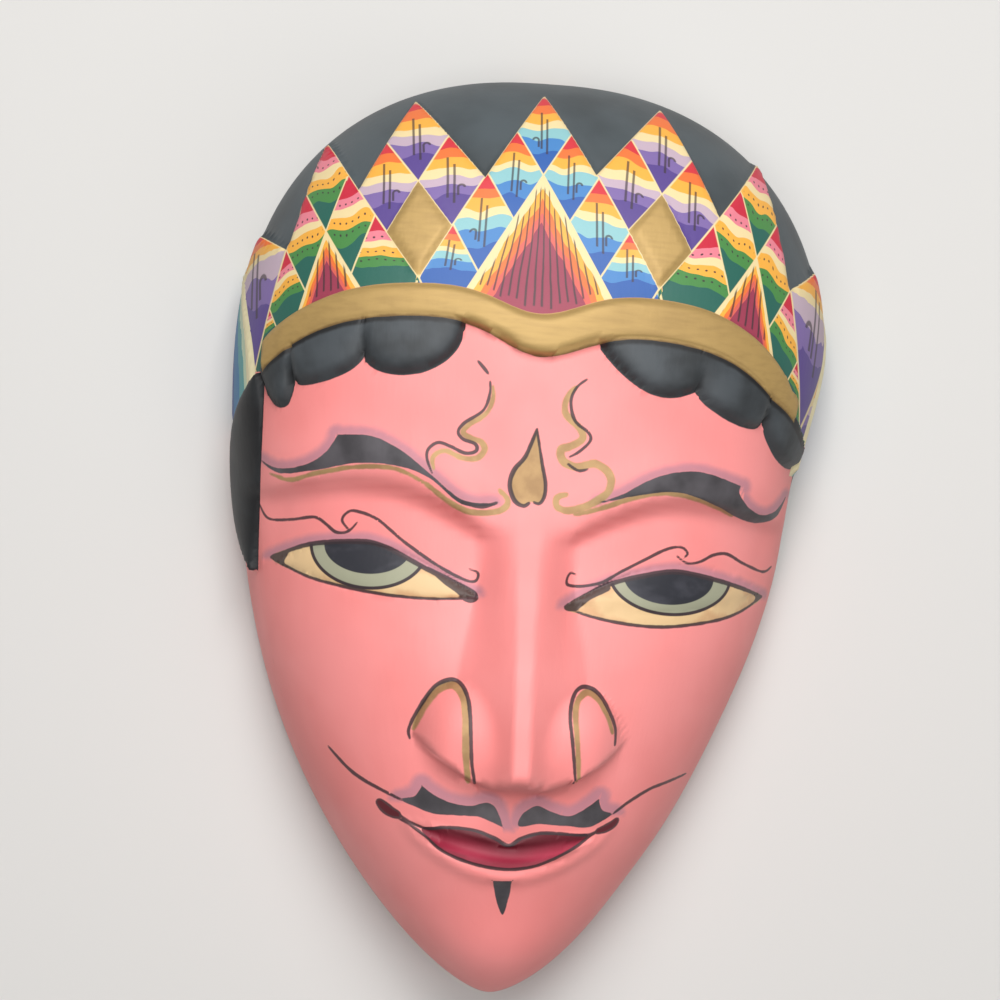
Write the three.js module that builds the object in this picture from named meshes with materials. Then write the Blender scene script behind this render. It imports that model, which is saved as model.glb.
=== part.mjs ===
// Carved wall mask: one block of light wood, hollowed at the back, lying on its rim with the face up.
// Millimetres. +Z comes out of the face, +Y runs to the crown and +X to the right of someone facing it.
// The plain dome of the block comes first, and the carving is raised from it or cut into it.
import * as THREE from 'three';
import { ParametricGeometry } from 'three/addons/geometries/ParametricGeometry.js';
import { mergeGeometries, mergeVertices } from 'three/addons/utils/BufferGeometryUtils.js';

// The block: its outline on the wall, its dome and the hollow behind the face.
const maskHeight = 200;
const halfHeight = maskHeight / 2;
const halfWidth = 64.3;
const widestY = 36;
const domeDepth = 57;
const deepestY = 20;
const wallThickness = 9;
const hollowDepth = 46;

// The jaw bows a little to the left of the middle. The right side is carved in a little more than the left at
// the temple and beside the chin.
const jawBow = { x: -2.4, y: -42, reach: 42 };
const rightCuts = [{ y: 16, reach: 20, depth: 3.2 }, { y: -76, reach: 12, depth: 1.7 }];

// The gold band across the forehead, with a point in the middle. It is a little fuller on the right, where it
// sags more and narrows to its end.
const bandCrestY = 50.3;
const bandPoint = { x: -0.5, drop: 5, reach: 11 };
const bandSag = { left: 15.8, right: 26, at: 58, limit: 58 };
const bandWidth = { left: 7, right: 8.7, point: 0.8, narrowing: 0.5, narrowFrom: 46, narrowTo: 57 };
const bandHeight = 3;

// The crown above it ends in a row of tips. Straight edges run down from three of them to feet on the band,
// and each of the other four tips fills the gap between two such edges, from the notches where it meets them.
// Every corner is given round the dome and up.
const crownFeet = [
  { round: -72, y: 31.5 },
  { round: -26.2, y: 51.1 },
  { round: 23.7, y: 52.1 },
  { round: 69, y: 26.5 },
];
const fanTips = [{ round: -52.4, y: 81.3 }, { round: -1.7, y: 93.3 }, { round: 50.4, y: 83.7 }];
const fans = fanTips.map((tip, i) => ({ tip, left: crownFeet[i], right: crownFeet[i + 1], rows: 4 }));
const notch = (fan, side, share) => ({
  round: fan.tip.round + share * (fan[side].round - fan.tip.round),
  y: fan.tip.y + share * (fan[side].y - fan.tip.y),
});
const peaks = [
  {
    tip: { round: -77.9, y: 61.2 },
    left: { round: -91, y: 50 },
    right: notch(fans[0], 'left', 0.5),
    rows: 2,
  },
  {
    tip: { round: -29.7, y: 90.6 },
    left: notch(fans[0], 'right', 0.4),
    right: notch(fans[1], 'left', 0.48),
    rows: 2,
  },
  {
    tip: { round: 23.7, y: 92.5 },
    left: notch(fans[1], 'right', 0.44),
    right: notch(fans[2], 'left', 0.48),
    rows: 2,
  },
  {
    tip: { round: 76.2, y: 61.5 },
    left: notch(fans[2], 'right', 0.5),
    right: { round: 90, y: 48 },
    rows: 2,
  },
];
const lozenges = [
  { tip: crownFeet[1], left: peaks[1].left, right: peaks[1].right },
  { tip: crownFeet[2], left: peaks[2].left, right: peaks[2].right },
];
const crownHeight = 0.9;
const crownFoot = { left: 31, right: 24 };
const lozengeHeight = 0.9;

// Three locks of hair hang under the band on each side, given by their distance from the middle.
const locks = {
  left: [
    { from: 15.4, low: 27.4, to: 35.6, fromDrop: 0, drop: 11.7, toDrop: 6.7, roundness: 2 },
    { from: 35.6, low: 42, to: 49.5, fromDrop: 6.7, drop: 10.4, toDrop: 6.7, roundness: 2 },
    { from: 49.5, low: 51, to: 56.8, fromDrop: 6.7, drop: 10.9, toDrop: 0, roundness: 1 },
  ],
  right: [
    { from: 11.8, low: 25.5, to: 32.3, fromDrop: 0.6, drop: 10.9, toDrop: 8.3, roundness: 1 },
    { from: 32.3, low: 38.8, to: 47.5, fromDrop: 8.3, drop: 11, toDrop: 5.1, roundness: 1.5 },
    { from: 47.5, low: 52, to: 58, fromDrop: 5.1, drop: 9, toDrop: 0, roundness: 1.3 },
  ],
};
const hairHeight = 2.4;
const hairPillow = 6;

// The band ends at each temple, where a wing-shaped ornament runs back to the rim with a leaf-shaped
// sideburn below it. These are placed by the share of the way round from the nose, which is 0, to
// the rim, which is 1. The right ones lie further back than the left, round the side of the head.
const templeFront = 0.65;
const wings = { left: { front: 0.7, lowY: 20 }, right: { front: 0.8, lowY: 17 } };
const wing = { tipY: 58, sweep: 2.6, height: 0.9 };
const wingRib = { behind: 0.02, reach: 0.02, height: 0.5 };
const leaves = {
  left: { front: 0.682, topY: 31, height: 2.2 },
  right: { front: 0.955, topY: 20, height: 0.8 },
};
const leaf = { length: 42, width: 0.27, sweep: 0.088 };

// The face: brows, eye sockets, eyes, nose, mouth and chin.
const crease = { innerX: 9, innerY: 1.2, rise: 8.5, span: 24, outerX: 36, outerFall: 3, outerSpan: 17 };
const browHeight = 1.3;
const socketDepth = 4.1;
const eye = { innerX: 9.2, outerX: 52.7, innerY: -12.8, outerY: -8.4, upper: 7.4, lower: 3.4, depth: 1 };
const nose = { bridgeY: 8, tipY: -46, height: 15, bridge: 2.2, ridge: 1.7, bridgeBase: 9, base: 13.5 };
const noseLean = 1.2;
const nostril = { x: 13, y: -44, halfWidth: 9, halfLength: 14, height: 8 };
const noseUnder = { y: -52.9, rise: 10.4, at: 21, slope: 4.7, wingSlope: 1.4, tip: 4.5 };
const muzzle = { y: -61, halfWidth: 30, halfLength: 14, height: 2.6 };
const parting = { y: -63.6, lift: 4.6, corner: 22.5, depth: 0.3 };
const lips = { upper: 3.4, bow: 2.4, lower: 4.8, upperHeight: 0.6, lowerHeight: 1.2 };
const lipRim = { y: -70.3, lift: 10.3, corner: 22, height: 1 };
const chin = { y: -91, halfWidth: 16, halfLength: 10, height: 2.6 };

// How finely the solid is faceted.
const rowCount = 66;
const columnCount = 62;
const hollowColumns = 10;

const clamp01 = (value) => Math.min(1, Math.max(0, value));
const bell = (value) => Math.exp(-value * value);

// Runs smoothly from 0 at the first edge to 1 at the second.
function smooth(first, second, value) {
  const share = clamp01((value - first) / (second - first));
  return share * share * (3 - 2 * share);
}

// A quarter of a superellipse: 1 in the middle, 0 at the end.
const rounded = (share, inner, outer) => (1 - clamp01(share) ** inner) ** (1 / outer);

const sideOf = (value) => (value < 0 ? 'left' : 'right');

// Half the width of the mask on the wall at a height, on one side.
function outline(y, side) {
  const above = (y - widestY) / (halfHeight - widestY);
  const below = (widestY - y) / (halfHeight + widestY);
  const even = halfWidth * (y > widestY ? rounded(above, 2.3, 2.3) : rounded(below, 1.85, 1.5));
  const cut = rightCuts.reduce((sum, { y: at, reach, depth }) => sum + depth * bell((y - at) / reach), 0);
  return side === 'left' ? even : even - cut * even / halfWidth;
}

// Depth of the plain dome down the middle of the face.
function middleDepth(y) {
  const above = (y - deepestY) / (halfHeight - deepestY);
  const below = (deepestY - y) / (halfHeight + deepestY);
  return domeDepth * (y > deepestY ? rounded(above, 2.7, 2.7) : rounded(below, 2.8, 2.8));
}

// The dome is boxier at the crown than at the chin.
const boxiness = (y) => 2.2 + 0.6 * smooth(-20, 60, y);

// The middle of the dome, which follows the bow of the jaw.
const middleX = (y) => jawBow.x * bell((y - jawBow.y) / jawBow.reach);

// A point of the plain dome. Way round is -1 at the left rim, 0 at the nose and 1 at the right rim.
function domePoint(y, wayRound) {
  const across = Math.sin(wayRound * Math.PI / 2);
  const power = boxiness(y);
  const depth = middleDepth(y) * (1 - Math.abs(across) ** power) ** (1 / power);
  return new THREE.Vector3(middleX(y) + outline(y, sideOf(wayRound)) * across, y, depth);
}

// The direction that the plain dome faces there, from the slope of its superellipse.
function domeNormal(point) {
  const step = 0.05;
  const power = boxiness(point.y);
  const fromMiddle = point.x - middleX(point.y);
  const side = sideOf(fromMiddle);
  const wide = Math.max(outline(point.y, side), step);
  const deep = Math.max(middleDepth(point.y), step);
  const widening = (outline(point.y + step, side) - outline(point.y - step, side)) / (2 * step);
  const deepening = (middleDepth(point.y + step) - middleDepth(point.y - step)) / (2 * step);
  const aside = fromMiddle / wide;
  const sideways = Math.abs(aside) ** (power - 1);
  const outward = (point.z / deep) ** (power - 1);
  const upward = sideways * Math.abs(aside) * widening / wide + outward * (point.z / deep) * deepening / deep;
  return new THREE.Vector3(Math.sign(aside) * sideways / wide, -upward, outward / deep).normalize();
}

// Upper edge of the band, and its width, at a distance across the face.
function bandTop(x) {
  const fall = bandSag[sideOf(x)] * (Math.min(Math.abs(x), bandSag.limit) / bandSag.at) ** 5;
  return bandCrestY - fall - bandPoint.drop * bell((x - bandPoint.x) / bandPoint.reach);
}

function bandWidthAt(x) {
  const plain = bandWidth.left + (bandWidth.right - bandWidth.left) * smooth(-15, 15, x);
  const narrowed = 1 - bandWidth.narrowing * smooth(bandWidth.narrowFrom, bandWidth.narrowTo, x);
  return plain * narrowed + bandWidth.point * bell((x - bandPoint.x) / bandPoint.reach);
}

// The band is a flat strap with rounded edges.
function bandRelief(x, y) {
  const share = (bandTop(x) - y) / bandWidthAt(x);
  return bandHeight * rounded(Math.abs(2 * share - 1), 6, 2);
}

// A place counted from a corner along its left and right edges, whose ends are at 1.
function fromTip(corner, x, y) {
  const { tip, left, right } = corner;
  const aside = halfWidth * Math.asin(THREE.MathUtils.clamp(x / halfWidth, -1, 1)) - tip.round;
  const up = y - tip.y;
  const area = (left.round - tip.round) * (right.y - tip.y) - (left.y - tip.y) * (right.round - tip.round);
  return {
    left: (aside * (right.y - tip.y) - up * (right.round - tip.round)) / area,
    right: ((left.round - tip.round) * up - (left.y - tip.y) * aside) / area,
  };
}

// The crown stands a little above the bare cap, up to its row of tips. Two of its lozenges are raised more.
// It ends at the band, and runs on down behind the band's ends.
function crownRelief(x, y, beforeTemple) {
  const lowest = smooth(bandTop(x) - 1.2, bandTop(x) - 0.8, y);
  const foot = crownFoot[sideOf(x)];
  const behindBand = (1 - beforeTemple) * smooth(foot - 2, foot + 2, y);
  const below = [...fans, ...peaks].map((corner) => {
    const along = fromTip(corner, x, y);
    return corner.rows * Math.min(along.left, along.right);
  });
  const inLozenge = lozenges.map((corner) => {
    const along = fromTip(corner, x, y);
    return Math.min(along.left, along.right, 0.5 - along.left, 0.5 - along.right);
  });
  const height = crownHeight * smooth(-0.05, 0.05, Math.max(...below))
    + lozengeHeight * smooth(0, 0.05, Math.max(...inLozenge));
  return height * Math.max(lowest, behindBand);
}

// How far a lock hangs below the band: two quarter rounds that meet at its lowest point.
function lockDrop(lock, across) {
  if (across < lock.from || across > lock.to) return 0;
  const inner = across < lock.low;
  const start = inner ? lock.fromDrop : lock.toDrop;
  const run = inner ? lock.low - lock.from : lock.to - lock.low;
  return start + (lock.drop - start) * rounded(Math.abs(across - lock.low) / run, 2, lock.roundness);
}

// Each lock is a pillow that ends in a round lower edge.
function hairRelief(x, y) {
  const below = bandTop(x) - bandWidthAt(x) - y;
  if (below < -2) return 0;
  const drop = Math.max(...locks[sideOf(x)].map((lock) => lockDrop(lock, Math.abs(x))));
  return hairHeight * rounded(1 - (drop - below) / hairPillow, 2, 2) * (drop > 0);
}

// The wing ornament, with a rib along its front edge, which sweeps back to a tip on the rim.
function wingRelief(y, wayRound) {
  const { front, lowY } = wings[sideOf(wayRound)];
  if (y < lowY || y > wing.tipY) return 0;
  const sweep = (1 - front) * ((y - lowY) / (wing.tipY - lowY)) ** wing.sweep;
  const behind = Math.abs(wayRound) - front - sweep;
  const rib = wingRib.height * bell((behind - wingRib.behind) / wingRib.reach);
  const ends = smooth(lowY, lowY + 2, y) * smooth(wing.tipY, wing.tipY - 6, y);
  return smooth(0, 0.015, behind) * ends * (wing.height + rib);
}

// The sideburn: a leaf over the foot of the wing, fullest half way down and pointed at both ends. Its front
// edge bends back toward the lower tip.
function leafRelief(y, wayRound) {
  const { front, topY, height } = leaves[sideOf(wayRound)];
  const down = (topY - y) / leaf.length;
  if (down <= 0 || down >= 1) return 0;
  const fullness = 4 * down * (1 - down);
  const share = (Math.abs(wayRound) - front - leaf.sweep * down ** 2) / (leaf.width * fullness);
  return height * rounded(Math.abs(2 * share - 1), 2.5, 1.3);
}

// The line under the brow where the forehead turns in to the eye.
function creaseY(across) {
  const rise = crease.rise * Math.sin(Math.PI / 2 * clamp01((across - crease.innerX) / crease.span));
  const fall = crease.outerFall * clamp01((across - crease.outerX) / crease.outerSpan) ** 1.5;
  return crease.innerY + rise - fall;
}

// The brow swells above the crease. The socket is deepest just below it and eases out to the lid and cheek.
function browRelief(across, y) {
  const below = creaseY(across) - y;
  const beside = smooth(3, 11, across) * (1 - smooth(50, 61, across));
  const socket = socketDepth * smooth(-1, 2.8, below) * (1 - smooth(2, 34, below));
  const swell = browHeight * bell((below + 5) / 5) * smooth(4, 14, across);
  return beside * (swell - socket);
}

// The eye is an almond let into the lid, with a slightly swollen ball.
function eyeRelief(across, y) {
  const along = clamp01((across - eye.innerX) / (eye.outerX - eye.innerX));
  const arc = Math.sin(Math.PI * along);
  const level = eye.innerY + (eye.outerY - eye.innerY) * along;
  const share = y > level ? (y - level) / (eye.upper * arc + 0.01) : (level - y) / (eye.lower * arc + 0.01);
  return eye.depth * (1.6 * rounded(share, 2, 2) - 1) * (1 - smooth(0.9, 1, share));
}

// The lower edge of the nose rises from the tip to the nostrils.
const underRise = (across) => noseUnder.rise * clamp01(across / noseUnder.at) ** 1.9;

// The nose: a flat ridge with plain sides, two swollen nostrils, and an underside cut back to the lip.
function noseRelief(x, y) {
  const along = clamp01((nose.bridgeY - y) / (nose.bridgeY - nose.tipY));
  const across = Math.abs(x - noseLean * along);
  const height = nose.height * along ** 1.2;
  const towardTip = smooth(0, -34, y);
  const flat = nose.bridge + (nose.ridge - nose.bridge) * towardTip;
  const base = nose.bridgeBase + (nose.base - nose.bridgeBase) * towardTip;
  const ridge = height * (1 - clamp01((across - flat) / (base - flat))) ** 1.15;
  const fromWing = Math.hypot((across - nostril.x) / nostril.halfWidth, (y - nostril.y) / nostril.halfLength);
  const swollen = nostril.height * rounded(fromWing, 2.4, 1.1);
  const under = noseUnder.y + underRise(across);
  const slope = noseUnder.wingSlope + (noseUnder.slope - noseUnder.wingSlope) * bell(across / noseUnder.tip);
  return Math.hypot(ridge, swollen) * smooth(under, under + slope, y);
}

// The mouth: a low muzzle, two lips with a parting, and the rim that frames the lower lip.
function mouthRelief(across, y) {
  const fromMiddle = Math.hypot(across / muzzle.halfWidth, (y - muzzle.y) / muzzle.halfLength);
  const mound = muzzle.height * bell(fromMiddle * 1.3);
  const toCorner = clamp01(across / parting.corner);
  const partingY = parting.y + parting.lift * toCorner ** 2.2;
  const upper = (lips.upper - lips.bow * bell(across / 3.5)) * rounded(toCorner, 3, 1);
  const lower = lips.lower * rounded(toCorner, 2, 1);
  const above = (y - partingY) / (upper + 0.01);
  const below = (partingY - y) / (lower + 0.01);
  const fullness = 1 - toCorner ** 3;
  const upperLip = lips.upperHeight * fullness * Math.sin(Math.PI * clamp01(above)) ** 2;
  const lowerLip = lips.lowerHeight * fullness * Math.sin(Math.PI * clamp01(below)) ** 2;
  const groove = parting.depth * bell((y - partingY) / 0.9) * (1 - toCorner ** 4);
  const rimY = lipRim.y + lipRim.lift * (across / lipRim.corner) ** 1.9;
  const rim = lipRim.height * bell((y - rimY) / 1.4) * (1 - smooth(18, 24, across));
  return mound + upperLip + lowerLip - groove + rim;
}

const chinRelief = (across, y) =>
  chin.height * bell(across / chin.halfWidth) * bell((y - chin.y) / chin.halfLength);

// Ornament stands square to the dome. The band ends at the temples.
function ornamentRelief(x, y, wayRound) {
  const temple = Math.max(wingRelief(y, wayRound), leafRelief(y, wayRound));
  const before = 1 - smooth(templeFront, templeFront + 0.02, Math.abs(wayRound));
  const brow = Math.max(bandRelief(x, y) * before, hairRelief(x, y));
  return Math.max(temple, brow, crownRelief(x, y, before));
}

// The face is carved straight in from the front.
function faceRelief(x, y) {
  const across = Math.abs(x);
  return browRelief(across, y) + eyeRelief(across, y) + noseRelief(x, y)
    + mouthRelief(across, y) + chinRelief(across, y);
}

// Rows of facets run level at chin and crown, and bend to follow the band, the nose and the lips.
function rowY(row, wayRound) {
  const x = middleX(row) + outline(row, sideOf(wayRound)) * Math.sin(wayRound * Math.PI / 2);
  const byBand = smooth(-15, 35, row) * (1 - smooth(60, halfHeight, row));
  const byNose = bell((row - noseUnder.y) / 14) * smooth(-halfHeight, chin.y, row);
  return row + byBand * (bandTop(x) - bandTop(0)) + byNose * underRise(Math.abs(x - noseLean));
}

// The carved front of the mask.
function frontPoint(row, wayRound) {
  const y = rowY(row, wayRound);
  const point = domePoint(y, wayRound);
  const normal = domeNormal(point);
  const raised = ornamentRelief(point.x, y, wayRound);
  const onFace = smooth(0, 12, point.z) * faceRelief(point.x, y);
  return point.addScaledVector(normal, raised).add(new THREE.Vector3(0, 0, onFace));
}

// The hollow behind the face is the plain dome made smaller all round.
function hollowPoint(row, wayRound) {
  const inside = new THREE.Vector3(
    (halfWidth - wallThickness) / halfWidth,
    (halfHeight - wallThickness) / halfHeight,
    hollowDepth / domeDepth,
  );
  return domePoint(rowY(row, wayRound), wayRound).multiply(inside);
}

// Turns 0..1 into first..last, with shorter steps where the weight is high.
function spacing(first, last, weight) {
  const samples = 2000;
  const sums = [0];
  for (let k = 0; k < samples; k += 1) {
    sums.push(sums[k] + weight(first + (last - first) * (k + 0.5) / samples));
  }
  return (share) => {
    const target = share * sums[samples];
    let k = 0;
    while (k < samples - 1 && sums[k + 1] < target) k += 1;
    return first + (last - first) * (k + (target - sums[k]) / (sums[k + 1] - sums[k])) / samples;
  };
}

// Rows crowd at the chin and crown, the band, the underside of the nose and the mouth.
const rowAt = spacing(-halfHeight, halfHeight, (y) =>
  1 / Math.sqrt(1.02 - (y / halfHeight) ** 2)
  + bell((y - bandTop(0) + 4) / 7) + 1.4 * bell((y - noseUnder.y - 2) / 5) + bell((y - parting.y) / 7));

// Columns crowd along the nose.
const columnAt = spacing(-1, 1, (wayRound) => 1 + bell(wayRound / 0.25));

// One skin of the solid: a net of facets over rows and columns.
function skin(place, columns) {
  const net = new ParametricGeometry((u, v, target) => target.copy(place(u, v)), columns, rowCount);
  net.deleteAttribute('normal');
  net.deleteAttribute('uv');
  return net;
}

// Joins the skins into one closed solid and drops the facets that shrink to nothing at chin and crown.
function closedSolid(skins) {
  const joined = mergeVertices(mergeGeometries(skins), 1e-4);
  const corners = joined.getIndex().array;
  const kept = [];
  for (let k = 0; k < corners.length; k += 3) {
    const [a, b, c] = corners.subarray(k, k + 3);
    if (a !== b && b !== c && c !== a) kept.push(a, b, c);
  }
  joined.setIndex(kept);
  joined.computeVertexNormals();
  return joined;
}

const front = skin((u, v) => frontPoint(rowAt(v), columnAt(u)), columnCount);
const hollow = skin((u, v) => hollowPoint(rowAt(v), 1 - 2 * u), hollowColumns);
const rightRim = skin((u, v) => frontPoint(rowAt(v), 1).lerp(hollowPoint(rowAt(v), 1), u), 1);
const leftRim = skin((u, v) => hollowPoint(rowAt(v), -1).lerp(frontPoint(rowAt(v), -1), u), 1);

const paintedWood = new THREE.MeshStandardMaterial({ color: 0xe58f8c, roughness: 0.45, metalness: 0 });
const mask = new THREE.Mesh(closedSolid([front, hollow, rightRim, leftRim]), paintedWood);
mask.name = 'mask';

const wallMask = new THREE.Group();
wallMask.add(mask);

export default wallMask;
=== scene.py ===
import math

import bpy
import numpy as np
from mathutils import Matrix, Vector


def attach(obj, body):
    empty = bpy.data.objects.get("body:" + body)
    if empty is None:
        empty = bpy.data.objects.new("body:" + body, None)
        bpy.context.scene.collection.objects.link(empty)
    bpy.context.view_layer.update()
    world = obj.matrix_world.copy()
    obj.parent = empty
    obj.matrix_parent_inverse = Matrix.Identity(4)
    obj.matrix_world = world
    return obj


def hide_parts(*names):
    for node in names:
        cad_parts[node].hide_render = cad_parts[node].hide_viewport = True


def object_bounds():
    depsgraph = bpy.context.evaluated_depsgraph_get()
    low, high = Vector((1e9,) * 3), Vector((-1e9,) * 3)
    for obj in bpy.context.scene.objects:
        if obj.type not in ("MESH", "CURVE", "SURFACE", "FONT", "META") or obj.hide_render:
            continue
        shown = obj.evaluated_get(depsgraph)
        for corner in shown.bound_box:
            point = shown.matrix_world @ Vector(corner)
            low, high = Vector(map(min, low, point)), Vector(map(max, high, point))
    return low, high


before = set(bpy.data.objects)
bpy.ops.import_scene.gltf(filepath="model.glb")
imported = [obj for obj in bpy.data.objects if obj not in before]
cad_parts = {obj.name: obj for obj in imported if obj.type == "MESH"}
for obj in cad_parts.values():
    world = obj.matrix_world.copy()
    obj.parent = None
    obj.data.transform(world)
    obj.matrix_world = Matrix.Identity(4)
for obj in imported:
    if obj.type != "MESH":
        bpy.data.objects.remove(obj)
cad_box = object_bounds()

# The block: one piece of light wood, domed at the front and hollowed behind, that everything is carved in.
# Sizes here are millimetres, as a carver would mark them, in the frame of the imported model.
# A place on it is a height y and a way round: -1 at the left rim, 0 down the nose, 1 at the right rim.
MM = 0.001
HALF_HEIGHT = 100
HALF_WIDTH = 64.3
WIDEST_Y = 36
DOME_DEPTH = 57
DEEPEST_Y = 20
WALL = 9
HOLLOW_DEPTH = 46
JAW_BOW_X, JAW_BOW_Y, JAW_BOW_REACH = -2.4, -42, 42
CROWN_ROUND, JAW_FULL, JAW_BLUNT = 2.3, 1.85, 1.5
DEPTH_ROUND_ABOVE, DEPTH_ROUND_BELOW = 2.7, 2.8
BOXY_JAW, BOXY_HEAD, BOXY_FROM_Y, BOXY_TO_Y = 2.2, 2.8, -20, 60
RIGHT_CUTS = [dict(y=16, reach=20, depth=3.2), dict(y=-76, reach=12, depth=1.7)]


def clamp01(value):
    return np.clip(value, 0, 1)


def bell(value):
    return np.exp(-np.square(value))


def smooth(first, second, value):
    """Runs from 0 at the first edge to 1 at the second."""
    share = clamp01((value - first) / (second - first))
    return share * share * (3 - 2 * share)


def rounded(share, inner, outer):
    """A quarter of a superellipse: 1 in the middle, 0 at the end."""
    return (1 - clamp01(share) ** inner) ** (1 / outer)


def outline(y, way):
    """Half the width on the wall. The right side is carved in a little more than the left."""
    above = (y - WIDEST_Y) / (HALF_HEIGHT - WIDEST_Y)
    below = (WIDEST_Y - y) / (HALF_HEIGHT + WIDEST_Y)
    crown, jaw = rounded(above, CROWN_ROUND, CROWN_ROUND), rounded(below, JAW_FULL, JAW_BLUNT)
    even = HALF_WIDTH * np.where(y > WIDEST_Y, crown, jaw)
    cut = sum(side["depth"] * bell((y - side["y"]) / side["reach"]) for side in RIGHT_CUTS)
    return np.where(way < 0, even, even - cut * even / HALF_WIDTH)


def middle_depth(y):
    above = (y - DEEPEST_Y) / (HALF_HEIGHT - DEEPEST_Y)
    below = (DEEPEST_Y - y) / (HALF_HEIGHT + DEEPEST_Y)
    upper = rounded(above, DEPTH_ROUND_ABOVE, DEPTH_ROUND_ABOVE)
    lower = rounded(below, DEPTH_ROUND_BELOW, DEPTH_ROUND_BELOW)
    return DOME_DEPTH * np.where(y > DEEPEST_Y, upper, lower)


def boxiness(y):
    """How square the dome is from side to side."""
    return BOXY_JAW + (BOXY_HEAD - BOXY_JAW) * smooth(BOXY_FROM_Y, BOXY_TO_Y, y)


def middle_x(y):
    """The jaw bows a little to the left of the middle."""
    return JAW_BOW_X * bell((y - JAW_BOW_Y) / JAW_BOW_REACH)


def dome(y, way):
    across = np.sin(way * math.pi / 2)
    power = boxiness(y)
    depth = middle_depth(y) * (1 - np.abs(across) ** power) ** (1 / power)
    return np.stack([middle_x(y) + outline(y, way) * across, y, depth], axis=1)


def dome_normal(points, way):
    step = 0.05
    x, y, z = points.T
    power = boxiness(y)
    wide = np.maximum(outline(y, way), step)
    deep = np.maximum(middle_depth(y), step)
    widening = (outline(y + step, way) - outline(y - step, way)) / (2 * step)
    deepening = (middle_depth(y + step) - middle_depth(y - step)) / (2 * step)
    aside = (x - middle_x(y)) / wide
    sideways = np.abs(aside) ** (power - 1)
    outward = (z / deep) ** (power - 1)
    upward = sideways * np.abs(aside) * widening / wide + outward * (z / deep) * deepening / deep
    normal = np.stack([np.sign(aside) * sideways / wide, -upward, outward / deep], axis=1)
    return normal / np.linalg.norm(normal, axis=1, keepdims=True)


class Wire:
    """A shader socket that takes part in Python sums: each step adds a Math node to its tree."""

    def __init__(self, socket):
        self.socket = socket

    def node(self, kind, settings, sockets, output=0):
        """Adds any node: its settings first, then the values or links of its sockets."""
        tree = self.socket.id_data
        made = tree.nodes.new("ShaderNode" + kind)
        for name, value in settings.items():
            if name == "stops":
                elements = made.color_ramp.elements
                while len(elements) < len(value):
                    elements.new(1.0)
                for element, (position, colour) in zip(elements, value):
                    element.position = position
                    element.color = colour
                made.color_ramp.interpolation = "CONSTANT"
            else:
                setattr(made, name, value)
        for name, value in sockets.items():
            if isinstance(value, Wire):
                tree.links.new(value.socket, made.inputs[name])
            else:
                made.inputs[name].default_value = value
        return Wire(made.outputs[output])

    def math(self, operation, *others):
        return self.node("Math", {"operation": operation}, dict(enumerate((self, *others))))

    def __add__(self, other):
        return self.math("ADD", other)

    __radd__ = __add__

    def __sub__(self, other):
        return self.math("SUBTRACT", other)

    def __rsub__(self, other):
        return self.node("Math", {"operation": "SUBTRACT"}, {0: other, 1: self})

    def __mul__(self, other):
        return self.math("MULTIPLY", other)

    __rmul__ = __mul__

    def __truediv__(self, other):
        return self.math("DIVIDE", other)

    def __abs__(self):
        return self.math("ABSOLUTE")

    def __lt__(self, other):
        return self.math("LESS_THAN", other)

    def __gt__(self, other):
        return self.math("GREATER_THAN", other)


def srgb(red, green, blue):
    """A paint colour, given 0 to 255 as a screen shows it, in the light values that a shader takes."""
    shares = [level / 255 for level in (red, green, blue)]
    return (*[v / 12.92 if v <= 0.04045 else ((v + 0.055) / 1.055) ** 2.4 for v in shares], 1.0)


def cover(under, mask, over):
    """Lays one colour over another where the mask is 1."""
    return mask.node("Mix", {"data_type": "RGBA"}, {0: mask, 6: under, 7: over}, output=2)


def edge(field, soft=0.1):
    """Turns a distance in mm, positive inside, into a mask with a soft edge."""
    return field.node("MapRange", {"interpolation_type": "SMOOTHSTEP"},
                      {"Value": field, "From Min": -soft, "From Max": soft})


def clouds(here, per_metre, detail=3.0, stretch=(1, 1, 1)):
    """Soft noise from about 0.3 to 0.7, drawn out along the axes whose stretch is small."""
    drawn = here.node("VectorMath", {"operation": "MULTIPLY"}, {0: here, 1: stretch})
    return here.node("TexNoise", {}, {"Vector": drawn, "Scale": per_metre, "Detail": detail})


def layer(here, name):
    """One of the distances stored on the mesh."""
    return here.node("Attribute", {"attribute_name": name}, {}, output="Fac")


def layers(here, name):
    """Three distances stored together."""
    triple = here.node("Attribute", {"attribute_name": name}, {}, output="Vector")
    first = here.node("SeparateXYZ", {}, {0: triple})
    return [Wire(socket) for socket in first.socket.node.outputs]


def shaky(here, field, reach=0.22, per_metre=420):
    """Lets a painted edge waver as a brush does."""
    return field + (clouds(here, per_metre) - 0.5) * (2 * reach)


PINK = srgb(248, 150, 148)
PINK_DEEP = srgb(240, 137, 134)


def paint_ground(here):
    return cover(PINK, edge(clouds(here, 30) - 0.5, 0.2), PINK_DEEP)


# The gold band: a raised strap across the forehead with a point in the middle, carved with the block and
# painted gold with a dry brush. It sags more on the right, where it is a little wider and narrows to its end.
BAND_CREST_Y = 50.3
BAND_POINT_X, BAND_POINT_DROP, BAND_POINT_REACH = -0.5, 5, 11
BAND_SAG_LEFT, BAND_SAG_RIGHT, BAND_SAG_AT, BAND_SAG_LIMIT = 15.8, 26, 58, 58
BAND_WIDTH_LEFT, BAND_WIDTH_RIGHT, BAND_WIDTH_POINT = 7, 8.7, 0.8
BAND_NARROWING, BAND_NARROW_FROM, BAND_NARROW_TO = 0.5, 46, 57
BAND_SAG_POWER, BAND_WIDENS_OVER = 5, 15
BAND_HEIGHT, BAND_EDGE, BAND_FLATNESS, BAND_SHADE_BELOW = 3, 0.7, 8, 3
TEMPLE_FRONT, PAINT_PAST_TEMPLE = 0.65, 0.01
WAY_TO_MM = 100
GOLD = srgb(184, 152, 94)
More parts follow.
